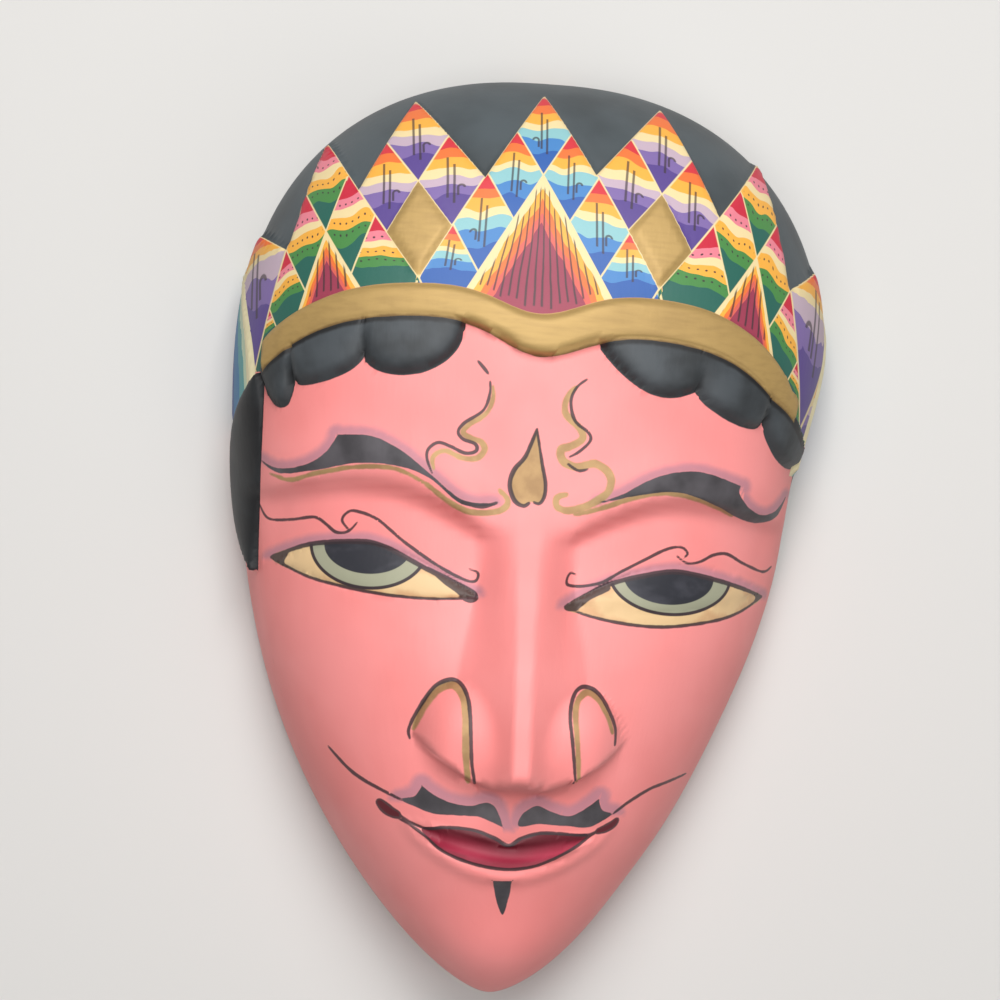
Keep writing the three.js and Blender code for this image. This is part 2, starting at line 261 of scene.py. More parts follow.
GOLD_WORN = srgb(160, 130, 80)
GOLD_SHADE = srgb(92, 66, 38)
gold_masks = []


def band_top(x):
    sag = np.where(x < 0, BAND_SAG_LEFT, BAND_SAG_RIGHT)
    fall = sag * (np.minimum(np.abs(x), BAND_SAG_LIMIT) / BAND_SAG_AT) ** BAND_SAG_POWER
    return BAND_CREST_Y - fall - BAND_POINT_DROP * bell((x - BAND_POINT_X) / BAND_POINT_REACH)


def band_width(x):
    widening = smooth(-BAND_WIDENS_OVER, BAND_WIDENS_OVER, x)
    plain = BAND_WIDTH_LEFT + (BAND_WIDTH_RIGHT - BAND_WIDTH_LEFT) * widening
    narrowed = 1 - BAND_NARROWING * smooth(BAND_NARROW_FROM, BAND_NARROW_TO, x)
    return plain * narrowed + BAND_WIDTH_POINT * bell((x - BAND_POINT_X) / BAND_POINT_REACH)


def in_band(x, y):
    top = band_top(x)
    return np.minimum(top - y, y - top + band_width(x))


def band_relief(x, y):
    share = (band_top(x) - y) / band_width(x)
    crest = rounded(np.abs(2 * share - 1), BAND_FLATNESS, 2)
    return BAND_HEIGHT * crest * smooth(0, BAND_EDGE, in_band(x, y))


def before_temple(way):
    """Distance in front of the place where the band and the hair end, in mm."""
    return (TEMPLE_FRONT + PAINT_PAST_TEMPLE - np.abs(way)) * WAY_TO_MM


def band_field(x, y, way):
    return np.minimum(in_band(x, y), before_temple(way))


def gold_paint(here):
    streaks = clouds(here, 900, stretch=(0.15, 1, 0.6))
    worn = edge(streaks - 0.56, 0.2) * 0.4 + edge(clouds(here, 55) - 0.55, 0.15) * 0.3
    return cover(GOLD, worn, GOLD_WORN)


def paint_band(here, colour):
    band = layer(here, "band")
    mask = edge(shaky(here, band, 0.12))
    gold_masks.append(mask)
    # Along its lower edge the gold is darkened: part a dark painted line, part painted shade where the strap
    # turns under.
    shaded_lower_edge = edge(shaky(here, 0.35 - band, 0.3), 0.3) * (layer(here, "below_top") > BAND_SHADE_BELOW)
    return cover(colour, mask, cover(gold_paint(here), shaded_lower_edge * 0.7, GOLD_SHADE))


# The crown: it stands a little above the plain dark cap and ends in a row of tips. Three of them top fans:
# lozenges along two edges that run down to feet on the band, with stripes between. Peaks of four lozenges
# stand between the fans, and peaks of one tall lozenge outside. Corners are given round the dome and up.
CROWN_FEET = [(-72, 31.5), (-26.2, 51.1), (23.7, 52.1), (69, 26.5)]
FANS = [
    dict(place=-8, tip=(-52.4, 81.3), left=CROWN_FEET[0], right=CROWN_FEET[1],
         left_notch=0.5, right_notch=0.4, left_second=0.5, right_second=0.58, left_low=2, right_low=1),
    dict(place=0, tip=(-1.7, 93.3), left=CROWN_FEET[1], right=CROWN_FEET[2],
         left_notch=0.48, right_notch=0.44, left_second=0.46, right_second=0.46, left_low=2, right_low=2),
    dict(place=8, tip=(50.4, 83.7), left=CROWN_FEET[2], right=CROWN_FEET[3],
         left_notch=0.48, right_notch=0.5, left_second=0.54, right_second=0.5, left_low=1, right_low=2),
]


def notch(fan, side):
    """Where a peak meets the edge of a fan."""
    return tuple(fan["tip"][k] + fan[side + "_notch"] * (fan[side][k] - fan["tip"][k]) for k in (0, 1))


PEAKS = [
    dict(place=-12, tip=(-77.9, 61.2), left=(-91, 50), right=notch(FANS[0], "left"), foot=CROWN_FEET[0]),
    dict(place=-4, tip=(-29.7, 90.6), left=notch(FANS[0], "right"), right=notch(FANS[1], "left"),
         foot=CROWN_FEET[1]),
    dict(place=4, tip=(23.7, 92.5), left=notch(FANS[1], "right"), right=notch(FANS[2], "left"),
         foot=CROWN_FEET[2]),
    dict(place=12, tip=(76.2, 61.5), left=notch(FANS[2], "right"), right=(90, 48), foot=CROWN_FEET[3]),
]
TIP_ROWS, PEAK_ROWS, ROW_MM, CELL_MM = 4, 2, 5, 21
CROWN_HEIGHT, CROWN_FOOT_LEFT, CROWN_FOOT_RIGHT = 0.9, 31, 24
LOZENGE_PLACE, LOZENGE_ROW, LOZENGE_HEIGHT = 4, 1, 0.9
CAP = srgb(76, 84, 88)
CAP_DARK = srgb(60, 66, 69)
CREAM = srgb(230, 208, 156)
AMBER = srgb(236, 170, 66)
ORANGE = srgb(228, 114, 56)
RED = srgb(206, 52, 62)
INK = srgb(58, 46, 50)
BLUE_STRIPES = [(0.0, srgb(46, 92, 164)), (0.26, srgb(70, 128, 188)), (0.41, srgb(138, 188, 192)),
                (0.54, CREAM), (0.62, AMBER), (0.73, ORANGE), (0.83, RED)]
PURPLE_STRIPES = [(0.0, srgb(88, 68, 136)), (0.3, srgb(124, 102, 160)), (0.42, srgb(190, 168, 182)),
                  (0.52, CREAM), (0.61, AMBER), (0.73, ORANGE), (0.84, RED)]
GREEN_STRIPES = [(0.0, srgb(38, 96, 84)), (0.3, srgb(72, 132, 68)), (0.45, AMBER),
                 (0.58, CREAM), (0.66, srgb(224, 126, 140)), (0.77, srgb(196, 40, 62))]
FAN_STRIPES = [(0.0, CREAM), (0.14, AMBER), (0.28, ORANGE), (0.42, srgb(212, 96, 84)),
               (0.54, srgb(150, 58, 80))]
FAN_PLACE, FAN_SIDE_DEEPER = 8, 0.9
FAN_SPREAD, FAN_STRANDS, FAN_SIDE_STRANDS, STRAND_HALF = 3, 21, 13, 0.13
STRAND_START, STRAND_START_SPREAD, STRAND_END, STRAND_END_SPREAD = 0.08, 0.25, 0.7, 1.2
WAVES, WAVE_SWING, WAVE_NOISE = 5, 0.018, 0.13
DOT_ROWS, DOTS_ACROSS, DOTS_UP, DOT_SIZE, DOTS_END = (0.7, 0.52, 0.4), 4, 14, 0.15, 0.85
STROKES = [dict(place=-0.1, low=0.3, high=0.74), dict(place=0.1, low=0.24, high=0.66)]
STROKE_HALF, STROKE_LEAN = 0.035, 0.3
HOOK_ASIDE, HOOK_UP, HOOK_STRETCH, HOOK_RADIUS, HOOK_TAIL, NO_STROKE = 0.3, 0.4, 3.5, 0.1, 0.28, 9
CREAM_LINE_HALF, CREAM_TIP_ROW, CREAM_FOOT_ROW = 0.016, 3.88, 0.05
CROWN_STEP, LOZENGE_STEP, CROWN_FROM, CROWN_FULL = 0.05, 0.05, -1.2, -0.8


def from_corner(tip, left, right, x, y):
    """A place counted from a corner along its left and right edges, whose ends are at 1."""
    aside = HALF_WIDTH * np.arcsin(np.clip(x / HALF_WIDTH, -1, 1)) - tip[0]
    up = y - tip[1]
    left_x, left_y = left[0] - tip[0], left[1] - tip[1]
    right_x, right_y = right[0] - tip[0], right[1] - tip[1]
    area = left_x * right_y - left_y * right_x
    return (aside * right_y - up * right_x) / area, (left_x * up - left_y * aside) / area


def above_band(x, y, way):
    """Distance above the band in mm. Behind the band's ends the crown runs on down."""
    foot = np.where(way < 0, CROWN_FOOT_LEFT, CROWN_FOOT_RIGHT)
    return np.maximum(y - band_top(x), np.minimum(-before_temple(way), y - foot))


def crown_relief(x, y, way):
    below, in_lozenge = [], []
    for corner in FANS + PEAKS:
        rows = TIP_ROWS if corner in FANS else PEAK_ROWS
        below.append(rows * np.minimum(*from_corner(corner["tip"], corner["left"], corner["right"], x, y)))
    for peak in PEAKS[1:3]:
        left, right = from_corner(peak["foot"], peak["left"], peak["right"], x, y)
        in_lozenge.append(np.min([left, right, 0.5 - left, 0.5 - right], axis=0))
    height = CROWN_HEIGHT * smooth(-CROWN_STEP, CROWN_STEP, np.max(below, axis=0))
    height += LOZENGE_HEIGHT * smooth(0, LOZENGE_STEP, np.max(in_lozenge, axis=0))
    return height * smooth(CROWN_FROM, CROWN_FULL, above_band(x, y, way))


def rows_down(fan, side, share):
    """Rows of lozenges along the edge of a fan: two in its upper part, then longer or shorter ones."""
    at = fan[side + "_second"]
    return np.where(share < at, 2 * share / at, 2 + fan[side + "_low"] * (share - at) / (1 - at))


def fan_fields(x, y, way):
    """Half lozenges across from the middle and rows up, on the nearest fan, and the height above the band."""
    nets, inside = [], []
    for fan in FANS:
        left, right = from_corner(fan["tip"], fan["left"], fan["right"], x, y)
        left, right = rows_down(fan, "left", left), rows_down(fan, "right", right)
        nets.append((fan["place"] + right - left, TIP_ROWS - left - right))
        inside.append(np.minimum(left, right))
    nearest = np.argmax(inside, axis=0)
    column, row = [np.choose(nearest, values) for values in zip(*nets)]
    return np.stack([column, row, above_band(x, y, way)], axis=1)


def peak_fields(x, y):
    """The same on the nearest peak, and the distance inside it in mm."""
    columns, rows, off, inside = [], [], [], []
    for peak in PEAKS:
        left, right = from_corner(peak["tip"], peak["left"], peak["right"], x, y)
        low_left, low_right = from_corner(peak["foot"], peak["left"], peak["right"], x, y)
        upper = left + right < 1
        across = PEAK_ROWS * np.where(upper, right - left, low_right - low_left)
        upper_row = TIP_ROWS - PEAK_ROWS * (left + right)
        row = np.where(upper, upper_row, PEAK_ROWS * (low_left + low_right))
        tall = 2 if abs(peak["place"]) > FAN_PLACE else 1
        columns.append(peak["place"] + across / tall)
        rows.append(row / tall)
        off.append(np.abs(across))
        inside.append(ROW_MM * (TIP_ROWS - np.abs(across) - row))
    nearest = np.argmin(off, axis=0)
    return np.stack([np.choose(nearest, values) for values in (columns, rows, inside)], axis=1)


def paint_cap(here, above, colour):
    cap = cover(CAP, edge(clouds(here, 45) - 0.52, 0.2), CAP_DARK)
    return cover(colour, edge(above), cap)


def ramp(level, stops):
    return level.node("ValToRGB", {"stops": stops}, {0: level})


def paint_crown(here, colour):
    fan_column, fan_row, above = layers(here, "fans")
    peak_column, peak_row, _ = layers(here, "peaks")
    is_side = abs(fan_column) > FAN_PLACE / 2
    across = abs(fan_column) - FAN_PLACE * is_side
    in_fan = TIP_ROWS - abs(across) - fan_row
    is_fan = in_fan > 0
    is_tall = abs(peak_column) > FAN_PLACE
    from_peak = abs(abs(peak_column) - LOZENGE_PLACE - FAN_PLACE * is_tall)
    in_peak = TIP_ROWS - from_peak - peak_row - (from_peak + peak_row) * is_tall
    column = peak_column + (fan_column - peak_column) * is_fan
    row = peak_row + (fan_row - peak_row) * is_fan
    along = (column + row) / 2
    back = (row - column) / 2
    along_cell = along.math("FLOOR")
    back_cell = back.math("FLOOR")
    along_in = along - along_cell
    back_in = back - back_cell
    cell_column = along_cell - back_cell
    cell_row = along_cell + back_cell + 1
    rise = (along_in + back_in) / 2
    hidden = (rise - above / CELL_MM).math("MAXIMUM", 0)
    rise = (rise - hidden) / (1 - hidden)
    aside = along_in - back_in
    cell = here.node("CombineXYZ", {}, {0: cell_column, 1: cell_row})
    luck = here.node("TexWhiteNoise", {"noise_dimensions": "2D"}, {"Vector": cell})

    # Wavy stripes in three families of colour.
    swing = (aside * WAVES + luck * 6).math("SINE") * WAVE_SWING
    level = rise + (swing + (clouds(here, 170, detail=1.0) - 0.5) * WAVE_NOISE) * (1.5 - rise)
    is_blue = is_fan * (1 - is_side)
    is_green = is_fan * is_side
    stripes = cover(ramp(level, PURPLE_STRIPES), is_green, ramp(level, GREEN_STRIPES))
    stripes = cover(stripes, is_blue, ramp(level, BLUE_STRIPES))

    # Rows of dots on the green lozenges, and two strokes and a hook on the others.
    dot_along = (aside * DOTS_ACROSS).math("FRACT") - 0.5
    for height in DOT_ROWS:
        dot_up = (level - height) * DOTS_UP
        dot = (dot_along * dot_along + dot_up * dot_up).math("SQRT")
        stripes = cover(stripes, is_green * edge(DOT_SIZE - dot, 0.07) * (abs(aside) < DOTS_END), INK)
    lean = (luck - 0.5) * STROKE_LEAN
    hook_side = (luck > 0.5) * 2 - 1
    hook_x = aside * hook_side - HOOK_ASIDE
    hook_y = (rise - HOOK_UP) * HOOK_STRETCH
    ring = abs((hook_x * hook_x + hook_y * hook_y).math("SQRT") - HOOK_RADIUS)
    tail = abs(hook_x + HOOK_RADIUS) + NO_STROKE * ((hook_y > 0) + (hook_y < -HOOK_TAIL))
    strokes = edge(STROKE_HALF - (ring + NO_STROKE * (hook_y < 0)).math("MINIMUM", tail), 0.02)
    for stroke in STROKES:
        off = abs(aside - stroke["place"] - lean * (rise - 0.5))
        strokes = edge(STROKE_HALF - off, 0.02) * (rise > stroke["low"]) * (rise < stroke["high"]) + strokes
    stripes = cover(stripes, strokes.math("MINIMUM", 0.8) * (1 - is_green), INK)

    # Cream lines between the lozenges.
    line = along_in.math("MINIMUM", 1 - along_in).math("MINIMUM", back_in.math("MINIMUM", 1 - back_in))
    stripes = cover(stripes, edge(CREAM_LINE_HALF - line, 0.01), CREAM)

    # Fans of stripes below three of the points, with fine dark strokes that spread from the top.
    depth = TIP_ROWS / 2 - fan_row
    inside = depth - abs(across)
    deeper = inside * (1 + FAN_SIDE_DEEPER * is_side)
    fan = ramp((deeper + (clouds(here, 240, detail=1.0) - 0.5) * 0.3) / 2, FAN_STRIPES)
    strands = FAN_STRANDS + (FAN_SIDE_STRANDS - FAN_STRANDS) * is_side
    strand = across / (depth + FAN_SPREAD) * strands + (clouds(here, 90) - 0.5) * 0.5
    strand_luck = here.node("TexWhiteNoise", {"noise_dimensions": "1D"}, {"W": strand.math("FLOOR")})
    strand_off = abs(strand.math("FRACT") - 0.5)
    starts = edge(inside - STRAND_START - STRAND_START_SPREAD * strand_luck, 0.05)
    ends = edge(above - STRAND_END - STRAND_END_SPREAD * strand_luck, 0.2)
    fan = cover(fan, edge(STRAND_HALF - strand_off, 0.07) * starts * ends * 0.85, INK)
    stripes = cover(stripes, edge(inside, 0.02) * is_fan, fan)

    # The gold lozenges, cream at the tips and at the lozenges' feet, then the whole crown on the cap.
    in_gold = 1 - abs(abs(peak_column) - LOZENGE_PLACE) - abs(peak_row - LOZENGE_ROW)
    lozenge = edge(in_gold, 0.02) * (1 - is_fan)
    stripes = cover(stripes, lozenge, gold_paint(here))
    stripes = cover(stripes, edge(row - CREAM_TIP_ROW, 0.04), CREAM)
    stripes = cover(stripes, edge(CREAM_FOOT_ROW - peak_row, 0.04) * (1 - is_fan) * (1 - is_tall), CREAM)
    mask = edge(in_fan.math("MAXIMUM", in_peak), 0.02) * edge(above)
    gold_masks.append(lozenge * mask)
    return cover(paint_cap(here, above, colour), mask, stripes)


# The locks of hair: three carved pillows that hang under the band on each side of the forehead, painted
# charcoal. Each laps over the next with a carved seam between them, and a dark line parts them from the band.
# Shade is painted on them: darker along their lower edges and in the seams. The dark line under the band is
# part paint and part painted shadow of the band.
LOCKS = {
    "left": [
        dict(start=15.4, low=27.4, end=35.6, start_drop=0, drop=11.7, end_drop=6.7, roundness=2),
        dict(start=35.6, low=42, end=49.5, start_drop=6.7, drop=10.4, end_drop=6.7, roundness=2),
        dict(start=49.5, low=51, end=56.8, start_drop=6.7, drop=10.9, end_drop=0, roundness=1),
    ],
    "right": [
        dict(start=11.8, low=25.5, end=32.3, start_drop=0.6, drop=10.9, end_drop=8.3, roundness=1),
        dict(start=32.3, low=38.8, end=47.5, start_drop=8.3, drop=11, end_drop=5.1, roundness=1.5),
        dict(start=47.5, low=52, end=58, start_drop=5.1, drop=9, end_drop=0, roundness=1.3),
    ],
}
HAIR_HEIGHT, HAIR_PILLOW, HAIR_EDGE, HAIR_UNDER_BAND, HAIR_PAINT_UNDER_BAND = 2.4, 6, 1.6, 2, 1.5
STEEPEST_EDGE = 6
FAR = -4.0
SEAM_LEAN, SEAM_DEPTH, SEAM_NEAR, SEAM_FAR, SEAM_LONG, SEAM_FADE = 0.2, 0.7, 0.6, 2.5, 6, 3
HAIR = srgb(72, 77, 81)
HAIR_DARK = srgb(44, 47, 49)
HAIR_SHADE_AND_LINE = srgb(24, 23, 24)


def lock_drop(lock, across):
    inner = across < lock["low"]
    start = np.where(inner, lock["start_drop"], lock["end_drop"])
    run = np.where(inner, lock["low"] - lock["start"], lock["end"] - lock["low"])
    drop = start + (lock["drop"] - start) * rounded(np.abs(across - lock["low"]) / run, 2, lock["roundness"])
    return np.where((across < lock["start"]) | (across > lock["end"]), 0, drop)


def hair_drop(x):
    drops = {side: np.max([lock_drop(lock, np.abs(x)) for lock in LOCKS[side]], axis=0) for side in LOCKS}
    return np.where(x < 0, drops["left"], drops["right"])


def below_band(x, y):
    return band_top(x) - band_width(x) - y


def seam(x, y):
    """1 on a seam between two locks. It eases out over the lower lock and dies away above the notch."""
    below = below_band(x, y)
    deepest = np.zeros(len(x))
    for side, locks in LOCKS.items():
        for lock in locks[1:]:
            up = lock["start_drop"] - below
            past = np.abs(x) - lock["start"] - SEAM_LEAN * up
            dip = np.where(past < 0, bell(past / SEAM_NEAR), np.exp(-np.abs(past) / SEAM_FAR))
            dip = dip * (1 - smooth(1, SEAM_LONG, up)) * ((x < 0) == (side == "left"))
            deepest = np.maximum(deepest, dip)
    return deepest


def in_hair(x, y):
    """Distance inside the lower edge of the hair, in mm."""
    step = 0.1
    left = hair_drop(x - step) - below_band(x - step, y)
    right = hair_drop(x + step) - below_band(x + step, y)
    slope = np.clip((right - left) / (2 * step), -STEEPEST_EDGE, STEEPEST_EDGE)
    inside = (hair_drop(x) - below_band(x, y)) / np.sqrt(1 + slope ** 2)
    return np.where(hair_drop(x) > 0, inside, FAR)


def hair_relief(x, y):
    inside = in_hair(x, y)
    pillow = rounded(1 - inside / HAIR_PILLOW, 2, 2) * smooth(0, HAIR_EDGE, inside)
    raised = HAIR_HEIGHT * pillow - SEAM_DEPTH * seam(x, y) * smooth(0, SEAM_FADE, inside)
    return np.where(below_band(x, y) < -HAIR_UNDER_BAND, 0, raised)


def hair_field(x, y):
    return np.minimum(in_hair(x, y), below_band(x, y) + HAIR_PAINT_UNDER_BAND)


def paint_hair(here, colour):
    hair, parted, below = layers(here, "hair")
    coat = cover(HAIR, edge(clouds(here, 90) - 0.5, 0.2), HAIR_DARK)
    # Painted shade: darker along the locks' lower edges, where they turn under.
    coat = cover(coat, edge(1.5 - hair, 1.5) * 0.7, HAIR_DARK)
    # Painted shade in the seams between the locks.
    coat = cover(coat, edge(parted - 0.8, 0.25) * 0.8, HAIR_SHADE_AND_LINE)
    # A dark line under the band's lower edge: part paint, part painted shadow of the band.
    coat = cover(coat, edge(shaky(here, 0.9 - below, 0.3), 0.4) * 0.9, HAIR_SHADE_AND_LINE)
    return cover(colour, edge(shaky(here, hair, 0.12)), coat)


# The temples: at each side a wing-shaped ornament runs back to the rim, with a rib along its front edge, and
# a leaf-shaped sideburn lies below it. Both are carved with the block. The right ones lie further back.
WING_FRONT_LEFT, WING_FRONT_RIGHT, WING_LOW_LEFT, WING_LOW_RIGHT = 0.7, 0.8, 20, 17
WING_TIP, WING_SWEEP, WING_HEIGHT, WING_RIB, RIB_BEHIND, RIB_REACH = 58, 2.6, 0.9, 0.5, 0.02, 0.02
WING_EDGE, WING_FOOT_RISE, WING_TIP_FALL = 0.015, 2, 6
LEAF_FRONT_LEFT, LEAF_FRONT_RIGHT, LEAF_TOP_LEFT, LEAF_TOP_RIGHT = 0.682, 0.955, 31, 20
LEAF_HEIGHT_LEFT, LEAF_HEIGHT_RIGHT, LEAF_EDGE = 2.2, 0.8, 0.7
LEAF_LENGTH, LEAF_WIDTH, LEAF_SWEEP, LEAF_FLATNESS, LEAF_SLOPE = 42, 0.27, 0.088, 2.5, 1.3
SIDEBURN = srgb(28, 28, 30)
WING_STRIPES = [(0.0, srgb(232, 220, 178)), (0.2, srgb(190, 208, 178)), (0.34, srgb(84, 154, 156)),
                (0.5, srgb(46, 116, 164)), (0.8, srgb(38, 80, 146))]
WING_PAINT_LENGTH = 22


def wing_low(way):
    return np.where(way < 0, WING_LOW_LEFT, WING_LOW_RIGHT)


def behind_wing_edge(y, way):
    front = np.where(way < 0, WING_FRONT_LEFT, WING_FRONT_RIGHT)
    sweep = clamp01((y - wing_low(way)) / (WING_TIP - wing_low(way))) ** WING_SWEEP
    return np.abs(way) - front - (1 - front) * sweep


def wing_relief(y, way):
    behind = behind_wing_edge(y, way)
    rib = WING_RIB * bell((behind - RIB_BEHIND) / RIB_REACH)
    ends = smooth(0, WING_FOOT_RISE, y - wing_low(way)) * smooth(WING_TIP, WING_TIP - WING_TIP_FALL, y)
    return smooth(0, WING_EDGE, behind) * ends * (WING_HEIGHT + rib)


def wing_field(y, way):
    inside = np.minimum(behind_wing_edge(y, way) * WAY_TO_MM, y - wing_low(way))
    return np.minimum(inside, WING_TIP - y)


def leaf_share(y, way):
    """0 in the middle of the leaf's width, 1 at its edges, with its width in mm."""
    top = np.where(way < 0, LEAF_TOP_LEFT, LEAF_TOP_RIGHT)
    front = np.where(way < 0, LEAF_FRONT_LEFT, LEAF_FRONT_RIGHT)
    down = clamp01((top - y) / LEAF_LENGTH)
    width = LEAF_WIDTH * 4 * down * (1 - down) + 1e-6
    return np.abs(2 * (np.abs(way) - front - LEAF_SWEEP * down ** 2) / width - 1), width * WAY_TO_MM


def leaf_field(y, way):
    share, width = leaf_share(y, way)
    return np.clip((1 - share) * width / 2, FAR, -FAR)


def leaf_relief(y, way):
    height = np.where(way < 0, LEAF_HEIGHT_LEFT, LEAF_HEIGHT_RIGHT)
    swelling = rounded(leaf_share(y, way)[0], LEAF_FLATNESS, LEAF_SLOPE)
    return height * swelling * smooth(0, LEAF_EDGE, leaf_field(y, way))


def paint_temples(here, colour):
    wing, leaf, behind = layers(here, "temple")
    streaks = clouds(here, 500, stretch=(1, 0.05, 1))
    colours = ramp(behind / WING_PAINT_LENGTH + (streaks - 0.5) * 0.2, WING_STRIPES)
    colour = cover(colour, edge(wing), colours)
    black = cover(SIDEBURN, edge(clouds(here, 80) - 0.55, 0.2), HAIR_DARK)
    return cover(colour, edge(shaky(here, leaf, 0.1)), black)


# The brows and forehead: the forehead turns in to each eye along a crease, and the brows, curls and the drop
# between them are only painted: charcoal edged with mauve, gold lines, and thin ink lines beside them.
CREASE_INNER_X, CREASE_INNER_Y, CREASE_RISE, CREASE_SPAN = 9, 1.2, 8.5, 24
CREASE_OUTER_X, CREASE_OUTER_FALL, CREASE_OUTER_SPAN = 36, 3, 17
BROW_HEIGHT, BROW_ABOVE, BROW_REACH, BROW_FROM_X, BROW_FULL_X = 1.3, 5, 5, 4, 14
SOCKET_DEPTH, SOCKET_TOP, SOCKET_FULL, SOCKET_EASE_FROM, SOCKET_EASE_TO = 4.1, -1, 2.8, 2, 34
SOCKET_INNER_X, SOCKET_INNER_FULL_X, SOCKET_OUTER_FULL_X, SOCKET_OUTER_X = 3, 11, 50, 61
MAUVE = srgb(180, 126, 140)
CHARCOAL = srgb(88, 84, 88)
CHARCOAL_DARK = srgb(60, 57, 60)
GOLD_LINE = srgb(176, 148, 98)
GOLD_LINE_DARK = srgb(140, 114, 72)
BROW_UPPER = {
    "left": [(-56.5, 12.7), (-52.5, 11), (-47, 11.8), (-42.5, 14.5), (-40, 18.5), (-40, 18.5), (-33, 18.5),
             (-27, 16), (-21, 11.8), (-14, 6.8), (-7.5, 6.4)],
    "right": [(13.5, 7.8), (18.5, 10), (25, 13.8), (31, 15.5), (36, 15.6), (44, 13.6), (44, 13.6),
              (43.8, 12), (46.5, 9.2), (50, 8), (53.5, 9.2), (56.5, 12.5)],
}
BROW_LOWER = {
    "left": [(-8, 5.9), (-14, 5.9), (-21, 10.8), (-28, 12.8), (-36, 12.8), (-44, 11), (-52, 10)],
    "right": [(54, 8), (49.5, 6.3), (44.5, 7), (38, 9.4), (30, 11.2), (22, 10)],
}
BROW_HALO = 1.7
dark_shapes = [BROW_UPPER[side] + BROW_LOWER[side] for side in BROW_UPPER]
halos = [(BROW_UPPER[side], BROW_HALO) for side in BROW_UPPER]
gold_strokes = [
    ([(-54, 9.8), (-49.5, 8.7), (-44.5, 10.2), (-36, 12), (-28, 12.2), (-21.5, 9.6)], 0.5),
    ([(-21.5, 9.6), (-15.5, 5.6), (-11, 4.3), (-6, 5.1), (-4.6, 7.2), (-6.5, 9.2)], 0.65),
    ([(-9.2, 30), (-9, 27.5), (-10.2, 24.5), (-13.4, 22), (-14.6, 20.4), (-13, 19.4), (-10.7, 18.6),
      (-10, 17), (-11.5, 15.3), (-14.5, 15.2), (-18, 16.4), (-20.3, 15), (-20, 12.5)], 0.6),
    ([(7.6, 31), (6, 28.8), (5.9, 25.6), (9, 22.6), (9.6, 20.6), (7, 18.8), (5.4, 18.2), (5.9, 16),
      (8.8, 14.9), (12.6, 15.8), (15.6, 13.8), (15.6, 10.5), (12.5, 7.8), (8, 6), (5.4, 6.6), (5.3, 8.5),
      (7.2, 9.2)], 0.85),
    ([(43, 7.4), (39, 8.9), (34, 10.3), (27, 10.9), (21, 9.5), (14.5, 6.9), (9, 5.2)], 0.6),
]
ink_strokes = [
    ([(-12.5, 35), (-10.3, 32.6)], 0.3),
    ([(-9.8, 31), (-9.7, 28.5), (-10.8, 25.1), (-14.3, 22.4), (-15.6, 20.5), (-14.5, 19), (-12, 18.2),
      (-11.7, 16.8), (-13.9, 16.2), (-17, 17.4), (-19.5, 18), (-21.4, 16.5), (-21.5, 14.5), (-20.3, 11.7)],
     0.32),
    ([(9.8, 32.8), (7.8, 31), (6.8, 28), (7.9, 24.2), (10.8, 22), (11.2, 20.3), (9.2, 18.1), (7.2, 16.8)],
     0.32),
    ([(7, 15.4), (9.2, 14.2), (11.2, 14.6)], 0.3),
    ([(-14, 6.3), (-10, 5.6), (-6.8, 6.6)], 0.4),
    ([(0.3, 22), (-1.6, 16.5), (-3.7, 13.6), (-4.5, 10.5), (-3.4, 7.4), (-1.5, 6.3), (-0.3, 7)], 0.45),
    ([(0.3, 22), (1.7, 15.6), (2.7, 11.4), (2.7, 8.6), (1.8, 7), (0.6, 7.2)], 0.35),
]
DROP = [(0.3, 22), (-1.6, 16.5), (-3.7, 13.6), (-4.5, 10.5), (-3.4, 7.4), (-1.5, 6.3), (0, 7.2), (1.8, 7),
        (2.7, 8.6), (2.7, 11.4), (1.7, 15.6)]


def crease_y(across):
    rise = CREASE_RISE * np.sin(math.pi / 2 * clamp01((across - CREASE_INNER_X) / CREASE_SPAN))
    fall = CREASE_OUTER_FALL * clamp01((across - CREASE_OUTER_X) / CREASE_OUTER_SPAN) ** 1.5
    return CREASE_INNER_Y + rise - fall


def brow_relief(across, y):
    below = crease_y(across) - y
    inner = smooth(SOCKET_INNER_X, SOCKET_INNER_FULL_X, across)
    outer = 1 - smooth(SOCKET_OUTER_FULL_X, SOCKET_OUTER_X, across)
    eased = 1 - smooth(SOCKET_EASE_FROM, SOCKET_EASE_TO, below)
    socket = SOCKET_DEPTH * smooth(SOCKET_TOP, SOCKET_FULL, below) * eased
    swell = BROW_HEIGHT * bell((below + BROW_ABOVE) / BROW_REACH) * smooth(BROW_FROM_X, BROW_FULL_X, across)
    return inner * outer * (swell - socket)


def curve(points, steps=8, closed=False):
    """A smooth line through the points, which turns sharply where a point is given twice."""
    ends = [points[-1]] + points + points[:2] if closed else [points[0]] + points + [points[-1]]
    p = np.array(ends, float)
    t = np.arange(steps)[:, None] / steps
    bends = []
    for before, start, end, after in zip(p, p[1:], p[2:], p[3:]):
        bends.append(start + 0.5 * t * (end - before + t * (2 * before - 5 * start + 4 * end - after
                                                          + t * (3 * start - 3 * end + after - before))))
    return np.vstack(bends + ([] if closed else [p[-1:]]))


def reach_of(x, y, line, half_widths):
    """How far inside a brush line each place is, in mm, down to FAR outside it."""
    field = np.full(len(x), FAR)
    near = np.flatnonzero((x > line[:, 0].min() + FAR) & (x < line[:, 0].max() - FAR)
                          & (y > line[:, 1].min() + FAR) & (y < line[:, 1].max() - FAR))
    for (ax, ay), (bx, by), half in zip(line, line[1:], half_widths):
        long = max((bx - ax) ** 2 + (by - ay) ** 2, 1e-9)
        share = clamp01(((x[near] - ax) * (bx - ax) + (y[near] - ay) * (by - ay)) / long)
        away = np.hypot(x[near] - ax - share * (bx - ax), y[near] - ay - share * (by - ay))
        field[near] = np.maximum(field[near], half - away)
    return field


